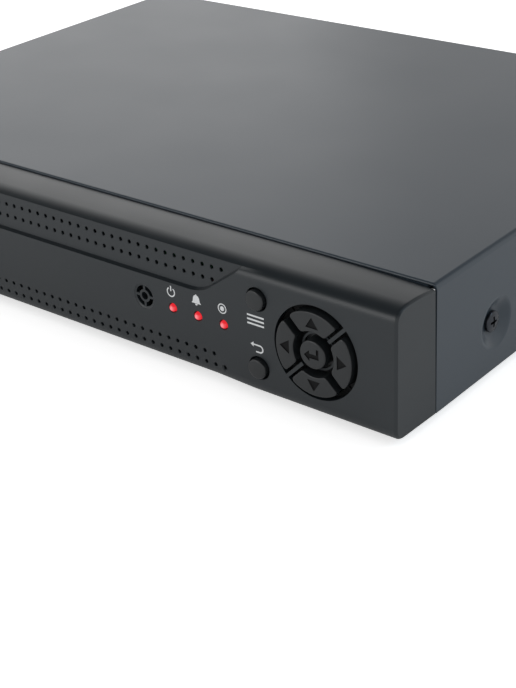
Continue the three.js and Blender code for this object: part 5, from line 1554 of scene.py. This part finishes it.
@dataclass
class Screws:
    """Pan head screws with a cross recess, whose arms are given by half their length and width."""

    head: float = 3.7
    height: float = 1.4
    rim: float = 0.55
    dome: float = 0.3
    dome_rings: int = 7
    shank: float = 1.4
    length: float = 5
    seat: float = 0.15
    cross_mouth: Point2 = (2.5, 0.6)
    cross_floor: Point2 = (1.4, 0.3)
    cross_depth: float = 1
    rear_shares: Point3 = (-0.88, -0.12, 0.56)
    rear_drop: float = 4.3

    def build_one(self, node: str, centre: Point3, axis: Axis) -> None:
        """Makes one screw.

        Args:
            node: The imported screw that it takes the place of.
            centre: The middle of its seat.
            axis: Which way its head points.
        """
        reach, high = self.head - self.rim, self.seat + self.height
        profile = [
            *domed(reach, high, -self.dome, self.dome_rings),
            *rounded_rim(reach, high - self.dome, self.rim, way=-1),
            (self.head, self.seat), (self.shank, self.seat), (self.shank, -self.length), (0, -self.length),
        ]
        piece = turned(profile, centre, axis, Sides.DISC).make(f"{node}_head")
        first, second, along = (np.array(v, float) for v in axis.value)
        ends = ((self.cross_mouth, high + CLEAR), (self.cross_floor, high - self.cross_depth))
        corners = ((-1, -1), (1, -1), (1, 1), (-1, 1))
        for a, b in ((first, second), (second, first)):
            rings = [
                [centre + a * length * i + b * width * j + along * level for i, j in corners]
                for (length, width), level in ends
            ]
            carve(piece, prism(rings))
        finish_piece(piece, "case", BLACK_ZINC.material, [node])

    def build(self) -> None:
        """Makes the side and rear screws of the cover."""
        c = CASE
        floor = c.half - TopCover.dimple_depth
        for name, side in (("left", -1), ("right", 1)):
            for end, y in zip(("front", "rear"), TopCover.screw_ys):
                place = (side * floor, y, TopCover.screw_z)
                self.build_one(f"{name}_{end}_side_screw", place, outward(side))
        for i, share in enumerate(self.rear_shares, start=1):
            place = (share * c.half, c.depth, c.height - self.rear_drop)
            self.build_one(f"rear_cover_screw_{i}", place, Axis.BACK)


@dataclass
class Feet:
    """Four moulded rubber feet under the case."""

    radius: float = 8
    height: float = 3
    tuck: float = 0.1
    tread_round: float = 0.9
    hollow: float = 3.4
    hollow_depth: float = 1.2
    hollow_slope: Point2 = (4.0, 4.4)
    hollow_lip: float = 0.1
    spread: float = 123
    front_y: float = 38
    rear_y: float = 208

    def build(self) -> None:
        """Makes each foot: a low disc with a rounded tread edge and a sunken middle."""
        top, bottom = CASE.cover_lift - self.tuck, CASE.cover_lift - self.height
        floor, (inner, outer) = bottom + self.hollow_depth, self.hollow_slope
        profile = [
            (0, floor), (self.hollow, floor), (inner, bottom + self.hollow_lip), (outer, bottom),
            *rounded_rim(self.radius - self.tread_round, bottom, self.tread_round),
            (self.radius, top), (0, top),
        ]
        for side, x in (("left", -self.spread), ("right", self.spread)):
            for end, y in (("front", self.front_y), ("rear", self.rear_y)):
                piece = turned(profile, (x, y, 0), Axis.UP, Sides.SOCKET).make(f"{end}_{side}_foot_pad")
                finish_piece(piece, "case", RUBBER.material, [f"{end}_{side}_foot"])


@dataclass
class Socket:
    """What the rear sockets share: the panel that they stand in, and how their pieces are made."""

    panel_gap: float = 1.1
    edge: float = 0.25

    @property
    def back(self) -> float:
        """Where a socket's foot lies along Y, inside the rear panel."""
        return CASE.depth - self.panel_gap

    def join(self, piece: Object, tool: Shell, finish: Finish | None = None) -> None:
        """Joins a tool on, made of finish or of the piece's own stuff."""
        carve(piece, tool, Cut.ONTO, lining=finish.material if finish else None)

    def cut(self, piece: Object, tool: Shell, finish: Finish | None = None) -> None:
        """Cuts a tool away, and lines what it leaves with finish or the piece's own stuff."""
        carve(piece, tool, lining=finish.material if finish else None)

    def start(self, shell: Shell, name: str, finish: Finish) -> Object:
        """Makes a socket's first body, of one finish."""
        piece = shell.make(name)
        piece.data.materials.append(finish.material)
        return piece

    def carried(self, outline: np.ndarray, x: float, z: float, stops: Sequence[Point2]) -> Shell:
        """An outline round (x, z) carried along Y.

        Args:
            outline: Its points in X and Z about the middle.
            x: The middle.
            z: The middle.
            stops: At each station, its place along Y and how much smaller the outline is there.

        Returns:
            The closed form.
        """
        half = np.abs(outline).max(axis=0)
        return prism([on_face(outline * (1 - inset / half), x, z, y) for y, inset in stops])

    def casing(
        self, name: str, low: np.ndarray, high: np.ndarray, finish: Finish, corner: float
    ) -> Object:
        """Makes a socket's block body, with rounded long edges and a broken rear edge.

        Args:
            name: The piece's name.
            low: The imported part's lowest corner.
            high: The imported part's highest corner.
            finish: What it is made of.
            corner: How far from its corners the rounds start.

        Returns:
            The piece.
        """
        x, _, z = (low + high) / 2
        w, _, h = (high - low) / 2
        stops = ((low[1], 0), (high[1] - self.edge, 0), (high[1], self.edge))
        return self.start(self.carried(rounded_loop(oblong(w, h), corner), x, z, stops), name, finish)

    def done(self, piece: Object, finish: Finish, slot: str, node: str) -> None:
        """Gives the socket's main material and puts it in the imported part's place."""
        finish_piece(piece, "case", finish.material, [node])


@dataclass
class VideoInput(Socket):
    """A bayonet socket: a threaded barrel with a hexagon nut, two lugs, an insulator and a contact."""

    barrel: float = 4.85
    bore: float = 4.1
    bore_depth: float = 9
    bore_break: float = 0.15
    thread: float = 0.2
    thread_points: int = 9
    pitch: float = 0.8
    relief: float = 0.1
    relief_run: float = 0.2
    mouth_break: float = 0.3
    nut: float = 7.1
    nut_thick: float = 2.2
    nut_break: Point2 = (0.7, 0.4)
    washer: float = 6.7
    washer_thick: float = 0.5
    air: float = 0.02
    bite: float = 0.05
    core: float = 2.4
    core_set: float = 2.6
    core_bite: float = 0.3
    core_break: float = 0.1
    core_hole: float = 3
    contact: float = 0.8
    contact_gap: float = 0.1
    contact_wall: float = 0.25
    contact_foot: float = 0.2
    contact_set: float = 0.3
    lug: float = 0.95
    lug_break: float = 0.2
    lug_set: float = 3
    lug_reach: float = 6.05

    def barrel_profile(self, nut_end: float, floor: float, end: float) -> list[Point2]:
        """The barrel's profile, from its foot over its thread and rim down to its bore's floor.

        Args:
            nut_end: Where the nut ends and the thread starts.
            floor: Where the bore ends.
            end: Where the mouth lies.

        Returns:
            The profile.
        """
        r, bore, foot = self.barrel, self.bore, self.back - CLEAR
        thread = [
            (r - self.thread * (i % 2), nut_end + i * self.pitch / 2) for i in range(self.thread_points)
        ]
        neck = r - self.relief
        return [
            (0, foot), (r, foot), *thread, (neck, thread[-1][1] + self.relief_run),
            (neck, end - self.mouth_break), (neck - self.mouth_break, end),
            (bore + self.bore_break, end), (bore, end - self.bore_break), (bore, floor), (0, floor),
        ]

    def build(self, node: str) -> None:
        """Makes one socket.

        Args:
            node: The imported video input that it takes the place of.
        """
        low, high = place_of(node)
        x, _, z = (low + high) / 2
        end, face, nut = high[1], CASE.depth, self.nut
        floor, seat = end - self.bore_depth, face + self.washer_thick
        nut_end = seat + self.nut_thick
        barrel = self.barrel_profile(nut_end, floor, end)
        piece = self.start(spun(barrel, x, z, Sides.BARREL), f"{node}_socket", NICKEL)
        across, down = self.nut_break
        hexagon = [(0, seat), (nut, seat), (nut, nut_end - down), (nut - across, nut_end), (0, nut_end)]
        self.join(piece, spun(hexagon, x, z, Sides.HEXAGON))
        self.join(piece, spun(rod(self.washer, face + self.air, seat + self.bite), x, z, Sides.SOCKET))
        lug = rod(self.lug, self.bore + self.lug_break, self.lug_reach, self.lug_break)
        for axis in (Axis.LEFT, Axis.RIGHT):
            self.join(piece, turned(lug, (x, end - self.lug_set, z), axis, Sides.LUG))
        tip = end - self.core_set
        core, foot, hole = self.core, floor - self.core_bite, self.contact + self.contact_gap
        insulator = [
            (0, foot), (core, foot), (core, tip - self.core_break), (core - self.core_break, tip),
            (hole, tip), (hole, tip - self.core_hole), (0, tip - self.core_hole),
        ]
        self.join(piece, spun(insulator, x, z, Sides.DISC), PTFE)
        foot, top = tip - self.core_hole - self.contact_foot, tip - self.contact_set
        inside, bottom = self.contact - self.contact_wall, tip - self.core_hole + self.contact_gap
        contact = [
            (0, foot), (self.contact, foot), (self.contact, top), (inside, top), (inside, bottom), (0, bottom)
        ]
        self.join(piece, spun(contact, x, z, Sides.LUG), GOLD_FLASH)
        body = block((low[0], high[0]), (low[1], self.back), (low[2], high[2]))
        self.join(piece, body, BLACK_NYLON)
        self.done(piece, NICKEL, "nickel", node)


@dataclass
class AudioSockets(Socket):
    """The two phono sockets: plated barrels round a white and a red insulator."""

    barrel: float = 4.1
    barrel_foot: float = 1
    chamfer: float = 0.4
    flange: float = 5
    flange_thick: float = 1.5
    proud: float = 0.05
    shares: Point2 = (0.26, 0.74)
    mouth_depth: float = 0.7
    mouth_walls: Point2 = (0.75, 0.6)
    bore: float = 1.7
    bore_floor: float = 2
    bore_flare: float = 0.3
    bore_rims: Point2 = (0.9, 0.5)

    def build(self) -> None:
        """Makes both sockets on their block."""
        node = "audio_jacks"
        low, high = place_of(node)
        x, end, face = (low[0] + high[0]) / 2, high[1], CASE.depth + self.proud
        r, flange, soft, bore = self.barrel, self.flange, self.chamfer, self.bore
        body = block((low[0], high[0]), (low[1], self.back), (low[2], high[2]))
        piece = self.start(body, "audio_sockets", BLACK_NYLON)
        foot, front = self.back - CLEAR, face + self.flange_thick
        stem = [
            (0, foot), (r, foot), (r, face), (flange, face), (flange, front - soft), (flange - soft, front),
            (0, front),
        ]
        barrel = rod(r, face + self.barrel_foot, end, soft)
        inner, outer = self.mouth_walls
        floor = end - self.mouth_depth
        mouth = [(0, floor), (r - inner, floor), (r - outer, end + CLEAR), (0, end + CLEAR)]
        bottom, (deep, shallow) = face + self.bore_floor, self.bore_rims
        hole = [
            (0, bottom), (bore, bottom), (bore, end - deep), (bore + self.bore_flare, end - shallow),
            (0, end - shallow),
        ]
        for share, finish in zip(self.shares, (RED_PVC, WHITE_NYLON)):
            z = low[2] + share * (high[2] - low[2])
            self.join(piece, spun(stem, x, z, Sides.SOCKET))
            self.join(piece, spun(barrel, x, z, Sides.SOCKET), NICKEL)
            self.cut(piece, spun(mouth, x, z, Sides.SOCKET), finish)
            # The pin hole's walls are lined black: painted shade inside the red or white insulator
            self.cut(piece, spun(hole, x, z, Sides.STEM), BLACK_NYLON)
        self.done(piece, BLACK_NYLON, "black_plastic", node)


@dataclass
class ScreenSocket(Socket):
    """The D-shaped screen socket: a tin shell on a plate, a blue core and two screw posts."""

    plate: float = 0.8
    shell: Point2 = (8.45, 4.15)
    slant: float = 1
    corner: float = 1.6
    corner_steps: int = 5
    shell_break: float = 0.2
    wall: float = 0.45
    bite: float = 0.5
    body_inset: Point2 = (0.5, 0.25)
    body_bite: float = 0.4
    core_set: float = 0.55
    pitch: Point2 = (2.29, 1.98)
    columns: int = 5
    stagger: float = 0.25
    pin: float = 0.5
    pin_mouth: float = 0.7
    pin_depths: Point3 = (4, 0.6, 0.4)
    post_spread: float = 12.5
    post: float = 2.8
    post_set: float = 0.8
    post_break: float = 0.4
    thread: float = 1.25
    thread_mouth: float = 1.6
    thread_depths: Point2 = (1.1, 0.7)

    def pins(self, x: float, end: float, z: float) -> Shell:
        """The cutter of the pin holes: three rows, each set sideways from the next."""
        (across, down), (floor, rim, mouth) = self.pitch, self.pin_depths
        profile = [(0, -floor), (self.pin, -floor), (self.pin, -rim), (self.pin_mouth, -mouth), (0, -mouth)]
        shell = Shell()
        for row in (-1, 0, 1):
            for column in range(self.columns):
                step = column - self.columns // 2 + self.stagger * (-1) ** row
                place = (x + step * across, end, z + row * down)
                shell.add_turned(profile, place, Axis.BACK, Sides.PIN)
        return shell

    def build(self) -> None:
        """Makes the socket."""
        node = "vga_port"
        low, high = place_of(node)
        x, _, z = (low + high) / 2
        back, end = self.back, high[1]
        plate = block((low[0], high[0]), (back - self.plate, back), (low[2], high[2]))
        piece = self.start(plate, "screen_socket", TINPLATE)
        w, h = self.shell
        slanted = [(-w + self.slant, -h), (w - self.slant, -h), (w, h), (-w, h)]
        outline = rounded_loop(slanted, self.corner, self.corner_steps)
        soft, foot = self.shell_break, back - self.bite
        self.join(piece, self.carried(outline, x, z, ((foot, 0), (end - soft, 0), (end, soft))))
        across, down = self.body_inset
        body = block(
            (low[0] + across, high[0] - across),
            (low[1], back - self.body_bite),
            (low[2] + down, high[2] - down),
        )
        self.join(piece, body, BLACK_NYLON)
        inside = self.carried(outline, x, z, ((end - self.core_set, self.wall), (end + CLEAR, self.wall)))
        self.cut(piece, inside, BLUE_NYLON)
        # The pin holes' walls are lined black: painted shade in the holes of the blue core
        self.cut(piece, self.pins(x, end, z), BLACK_NYLON)
        post = rod(self.post, foot, end - self.post_set, self.post_break)
        floor, (rim, mouth) = back + self.bite, self.thread_depths
        bore = [
            (0, floor), (self.thread, floor), (self.thread, end - rim), (self.thread_mouth, end - mouth),
            (0, end - mouth),
        ]
        for side in (-1, 1):
            centre = x + side * self.post_spread
            self.join(piece, spun(post, centre, z, Sides.HEXAGON))
            self.cut(piece, spun(bore, centre, z, Sides.BORE))
        self.done(piece, TINPLATE, "blue_core", node)


@dataclass
class FlatScreenSocket(Socket):
    """The flat screen socket: a folded shell with slanted lower corners round a tongue."""

    slant: float = 1.6
    corner: float = 0.5
    rim: float = 0.15
    wall: float = 0.5
    depth: float = 8
    flare: float = 0.2
    tongue: Point2 = (5.5, 0.45)
    tongue_depth: float = 8.5

    def build(self) -> None:
        """Makes the socket."""
        node = "hdmi_port"
        low, high = place_of(node)
        x, _, z = (low + high) / 2
        w, _, h = (high - low) / 2
        end, cut, wall = high[1], self.slant, self.wall
        corners = [(-w + cut, -h), (w - cut, -h), (w, -h + cut), (w, h), (-w, h), (-w, -h + cut)]
        outline = rounded_loop(corners, self.corner)
        outside = self.carried(outline, x, z, ((low[1], 0), (end - self.rim, 0), (end, self.rim)))
        piece = self.start(outside, "flat_screen_socket", TINPLATE)
        stops = ((end - self.depth, wall), (end - self.flare, wall), (end + CLEAR, wall - self.flare))
        self.cut(piece, self.carried(outline, x, z, stops))
        across, thick = self.tongue
        depths = (end - self.tongue_depth, end - wall)
        self.join(piece, block((x - across, x + across), depths, (z - thick, z + thick)), BLACK_NYLON)
        self.done(piece, TINPLATE, "nickel", node)


@dataclass
class NetworkSocket(Socket):
    """The network socket: a tin can round a black insert with eight sprung contacts."""

    corner: float = 0.5
    rim: float = 0.9
    rim_depth: float = 0.3
    mouth: Point2 = (5.9, 6.8)
    notch: Point2 = (3, 2.4)
    base: float = 3.4
    depth: float = 12
    contacts: int = 8
    pitch: float = 1.02
    wire: float = 0.44
    spring: tuple[Point2, ...] = (
        (-2.5, 0.3), (-10, -3.6), (-12.3, -3.6), (-12.3, -3.2), (-10.2, -3.2), (-3.4, 0.3)
    )

    def wires(self, x: float, end: float, roof: float) -> Shell:
        """The contacts: a bent strip's side, given from the can's end and the roof, carried along X."""
        side = np.array(self.spring) + np.array([end, roof])
        shell = Shell()
        for i in range(self.contacts):
            left = x + (i - (self.contacts - 1) / 2) * self.pitch - self.wire / 2
            shell.add_prism(np.array([on_section(side, place) for place in (left, left + self.wire)]))
        return shell

    def build(self) -> None:
        """Makes the socket."""
        node = "network_port"
        low, high = place_of(node)
        piece = self.casing("network_socket_can", low, high, TINPLATE, self.corner)
        x, end, rim = (low[0] + high[0]) / 2, high[1], self.rim
        face = (end - self.rim_depth, end + CLEAR)
        self.cut(
            piece, block((low[0] + rim, high[0] - rim), face, (low[2] + rim, high[2] - rim)), BLACK_NYLON
        )
        (w, tall), (narrow, drop) = self.mouth, self.notch
        base, depths = low[2] + self.base, (end - self.depth, end + CLEAR)
        self.cut(piece, block((x - w, x + w), depths, (base, base + tall)), BLACK_NYLON)
        self.cut(piece, block((x - narrow, x + narrow), depths, (base - drop, base + CLEAR)), BLACK_NYLON)
        self.join(piece, self.wires(x, end, base + tall), GOLD_FLASH)
        self.done(piece, TINPLATE, "nickel", node)


@dataclass
class TwinSockets(Socket):
    """The stacked pair of flat sockets, each with a tongue that carries four contacts."""

    corner: float = 0.5
    mouth: Point2 = (6.3, 2.6)
    shares: Point2 = (0.26, 0.76)
    depth: float = 9
    flare_from: float = 0.2
    flare_to: float = 0.3
    flare: float = 0.4
    tongue_inset: float = 0.6
    tongue_depths: Point2 = (9.5, 0.8)
    tongue_heights: Point2 = (-0.1, 1.7)
    contacts: tuple[float, ...] = (-1.5, -0.5, 0.5, 1.5)
    pitch: float = 2.3
    strip_half: float = 0.5
    strip_depths: Point2 = (9.2, 1.4)
    strip_heights: Point2 = (-0.25, 0.1)

    def build(self) -> None:
        """Makes both sockets in their can."""
        node = "usb_ports"
        low, high = place_of(node)
        piece = self.casing("usb_sockets", low, high, TINPLATE, self.corner)
        x, end = (low[0] + high[0]) / 2, high[1]
        outline = rounded_loop(oblong(*self.mouth), self.corner)
        stops = ((end - self.depth, 0), (end - self.flare_from, 0), (end + self.flare_to, -self.flare))
        half = self.mouth[0] - self.tongue_inset
        tongue = tuple(end - depth for depth in self.tongue_depths)
        strip = tuple(end - depth for depth in self.strip_depths)
        for share in self.shares:
            z = low[2] + share * (high[2] - low[2])
            self.cut(piece, self.carried(outline, x, z, stops))
            heights = tuple(z + rise for rise in self.tongue_heights)
            self.join(piece, block((x - half, x + half), tongue, heights), BLACK_NYLON)
            strips = Shell()
            bottom, top = (z + rise for rise in self.strip_heights)
            for step in self.contacts:
                middle = x + step * self.pitch
                corner, far = middle - self.strip_half, middle + self.strip_half
                strips.add_block((corner, strip[0], bottom), (far, strip[1], top))
            self.join(piece, strips, GOLD_FLASH)
        self.done(piece, TINPLATE, "nickel", node)


@dataclass
class PowerSocket(Socket):
    """The barrel socket for the supply's plug: a black block, a round bore and its pin."""

    corner: float = 0.9
    bore: float = 3.1
    bore_depth: float = 9.5
    flare: float = 0.6
    flare_from: float = 0.4
    flare_to: float = 0.2
    pin: float = 1
    pin_depth: float = 10
    pin_set: float = 1

    def build(self) -> None:
        """Makes the socket, its pin with a round tip."""
        node = "power_inlet"
        low, high = place_of(node)
        piece = self.casing("power_socket", low, high, BLACK_NYLON, self.corner)
        x, end, z = (low[0] + high[0]) / 2, high[1], (low[2] + high[2]) / 2
        r, pin, floor, top = self.bore, self.pin, end - self.bore_depth, end + self.flare_to
        bore = [(0, floor), (r, floor), (r, end - self.flare_from), (r + self.flare, top), (0, top)]
        self.cut(piece, spun(bore, x, z, Sides.SOCKET))
        foot, shoulder = end - self.pin_depth, end - self.pin_set - pin
        tip = [(pin * math.cos(a), shoulder + pin * math.sin(a)) for a in quarter()]
        self.join(piece, spun([(0, foot), (pin, foot), *tip], x, z, Sides.BORE), NICKEL)
        self.done(piece, BLACK_NYLON, "black_plastic", node)


@dataclass
class RearSockets:
    """The sockets on the rear panel, each a metal or moulded body with its insulators and contacts."""

    video_inputs: int = 4

    def build(self) -> None:
        """Makes every socket."""
        for i in range(1, self.video_inputs + 1):
            VideoInput().build(f"video_input_{i}")
        for kind in (AudioSockets, ScreenSocket, FlatScreenSocket, NetworkSocket, TwinSockets, PowerSocket):
            kind().build()


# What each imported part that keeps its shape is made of: the screws, which aren't listed, are zinc
KEPT_FINISHES: dict[str, Finish] = {
    "base_chassis": POWDER_COAT, "button_board": SOLDER_MASK, "infrared_receiver": FILTER_EPOXY,
    "button_board_ribbon": GREY_PVC, "main_board": SOLDER_MASK, "video_processor": CHIP_EPOXY,
    "heatsink": CAST_ALUMINIUM, "coin_cell": TINPLATE, "buzzer": BLACK_NYLON,
    "hard_drive_case": CAST_ALUMINIUM, "hard_drive_lid": TINPLATE,
    "hard_drive_board": SOLDER_MASK, "drive_data_lead": RED_PVC, "drive_power_lead": BLACK_PVC,
    "fan_frame": BLACK_NYLON, "fan_rotor": BLACK_NYLON, "fan_lead": BLACK_PVC,
}


class KeptParts:
    """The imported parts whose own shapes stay, each with its finish."""

    def build(self) -> None:
        """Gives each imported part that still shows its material."""
        for name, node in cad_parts.items():
            if node.hide_render:
                continue
            node.data.materials.clear()
            node.data.materials.append(KEPT_FINISHES.get(name, BRIGHT_ZINC).material)
            log.info("%s keeps its shape", name)


@dataclass(frozen=True)
class SoftBox:
    """A soft box: its name, where it stands and what it points at, its size, all in metres, and light."""

    name: str
    place: Point3
    aim: Point3
    size: Point2
    watts: float
    tint: str = "#ffffff"

    def hang(self) -> None:
        """Puts the lamp into the scene."""
        data = bpy.data.lights.new(self.name, "AREA")
        data.shape = "RECTANGLE"
        data.size, data.size_y = self.size
        data.energy = self.watts
        data.color = colour(self.tint)[:3]
        lamp = bpy.data.objects.new(self.name, data)
        lamp.location = self.place
        way = Vector(self.aim) - Vector(self.place)
        lamp.rotation_mode = "QUATERNION"
        lamp.rotation_quaternion = way.to_track_quat("-Z", "Y")
        bpy.context.scene.collection.objects.link(lamp)


SOFT_BOXES = (
    SoftBox("back_box", (-1.35, 0.95, 0.55), (0, 0, 0.03), (1.2, 0.7), 1.8),
    SoftBox("front_box", (-0.625, -1.473, 0.45), (0, -0.1, 0.03), (0.7, 0.75), 3.6),
    SoftBox("right_box", (1.2, 0.5, 0.9), (0.4, 0.4, 0), (0.6, 0.6), 4.0, "#dcf0ff"),
)


@dataclass
class Studio:
    """A pale floor and background, soft lamps and the camera."""

    focal_pixels: float = 1472.1
    picture_height: float = 688
    sensor: float = 36
    sight: Point2 = (0.01, 50)
    azimuth: float = 40.52
    elevation: float = 28.12
    roll: float = -3.24
    place: Point3 = (363.8, -311.7, 238.2)
    wall_top: float = 0.45
    ceiling_edge: float = 0.62
    wall_light: float = 1.12
    ceiling_light: float = 0.05
    even_light: float = 0.8
    floor_reach: float = 6000
    floor_paint: str = "#f2f2f2"
    floor_lift: float = 0.62
    floor_shine: float = 0.12

    def camera(self) -> None:
        """Places the camera: it looks down its own Z axis, turned by azimuth, elevation and roll."""
        data = bpy.data.cameras.new("camera")
        data.sensor_width = self.sensor
        data.lens = self.focal_pixels * self.sensor / self.picture_height
        data.clip_start, data.clip_end = self.sight
        a, e, r = (math.radians(v) for v in (self.azimuth, self.elevation, self.roll))
        back = Vector((math.sin(a) * math.cos(e), -math.cos(a) * math.cos(e), math.sin(e)))
        right = Vector((math.cos(a), math.sin(a), 0))
        up = back.cross(right)
        across = right * math.cos(r) + up * math.sin(r)
        above = up * math.cos(r) - right * math.sin(r)
        turn = Matrix((across, above, back)).transposed()
        camera = bpy.data.objects.new("camera", data)
        camera.matrix_world = Matrix.Translation(Vector(np.array(self.place) * MM + ORIGIN)) @ turn.to_4x4()
        bpy.context.scene.collection.objects.link(camera)
        bpy.context.scene.camera = camera

    def mirrored(self, nodes: NodeTree, path: Node) -> NodeSocket:
        """1 for what is seen in a shine or through something clear, and 0 for the rest."""
        rays = {0: path.outputs["Is Glossy Ray"], 1: path.outputs["Is Transmission Ray"]}
        return nodes.add("Math", rays, operation="MAXIMUM").outputs["Value"]

    def world(self) -> None:
        """Sets the light from all round.

        The camera sees plain white. What shines sees a pale wall up to well above the horizon and a
        dim ceiling over it, by the height of its own direction. Matt surfaces get an even light.
        """
        world = bpy.data.worlds.new("studio")
        bpy.context.scene.world = world
        nodes = NodeTree(world)
        path = nodes.add("LightPath")
        way = nodes.add("TexCoord").outputs["Generated"]
        height = nodes.add("SeparateXYZ", {"Vector": way}).outputs["Z"]
        room = nodes.add(
            "MapRange",
            {
                "Value": height,
                "From Min": self.wall_top,
                "From Max": self.ceiling_edge,
                "To Min": self.wall_light,
                "To Max": self.ceiling_light,
            },
            interpolation_type="SMOOTHSTEP",
        ).outputs["Result"]
        seen = nodes.add(
            "Mix",
            {"Factor": self.mirrored(nodes, path), "A": self.even_light, "B": room},
            data_type="FLOAT",
        )
        full = nodes.add(
            "Mix",
            {"Factor": path.outputs["Is Camera Ray"], "A": seen.outputs["Result"], "B": 1.0},
            data_type="FLOAT",
        )
        background = nodes.add("Background", {"Strength": full.outputs["Result"]})
        nodes.add("OutputWorld", {"Surface": background.outputs["Background"]})

    def floor_material(self) -> Material:
        """White matt paint, lifted for the camera and for shines, and clear from below."""
        material = bpy.data.materials.new("painted studio floor")
        nodes = NodeTree(material)
        path = nodes.add("LightPath")
        shown = nodes.add(
            "Math", {0: self.mirrored(nodes, path), 1: self.floor_shine}, operation="MULTIPLY"
        )
        lift = nodes.add(
            "Math",
            {0: path.outputs["Is Camera Ray"], 1: self.floor_lift, 2: shown.outputs["Value"]},
            operation="MULTIPLY_ADD",
        )
        paint = nodes.add("BsdfDiffuse", {"Color": colour(self.floor_paint)})
        white = colour("#ffffff")
        glow = nodes.add("Emission", {"Color": white, "Strength": lift.outputs["Value"]})
        both = nodes.add("AddShader", {0: paint.outputs["BSDF"], 1: glow.outputs["Emission"]})
        clear = nodes.add("BsdfTransparent").outputs["BSDF"]
        side = nodes.add("NewGeometry").outputs["Backfacing"]
        surface = nodes.add("MixShader", {0: side, 1: both.outputs["Shader"], 2: clear})
        nodes.add("OutputMaterial", {"Surface": surface.outputs["Shader"]})
        return material

    def floor(self) -> None:
        """Lays a pale floor, seen from above only, that keeps the case's shadow.

        For the camera it is lifted towards white, so that only the shadow shows on it.
        """
        shell = Shell()
        reach, z = self.floor_reach, CASE.cover_lift - Feet.height
        corners = np.array([(-reach, -reach, z), (reach, -reach, z), (reach, reach, z), (-reach, reach, z)])
        shell.add(corners, [[0, 1, 2, 3]])
        floor = shell.make("floor")
        if floor.data.polygons[0].normal.z < 0:
            floor.data.flip_normals()
        floor.data.materials.append(self.floor_material())

    def build(self) -> None:
        """Sets up the whole studio."""
        bpy.context.scene.view_settings.view_transform = "Standard"
        self.camera()
        self.world()
        self.floor()
        for box in SOFT_BOXES:
            box.hang()


def main() -> None:
    """Builds the sub-assemblies in order, then the studio."""
    logging.basicConfig(level=logging.INFO, format="%(name)s: %(message)s")
    for assembly in (FrontBezel, KeyPad, Lamps, Prints, TopCover, Screws, Feet, RearSockets, KeptParts):
        assembly().build()
    Studio().build()


if __name__ == "__main__":
    main()
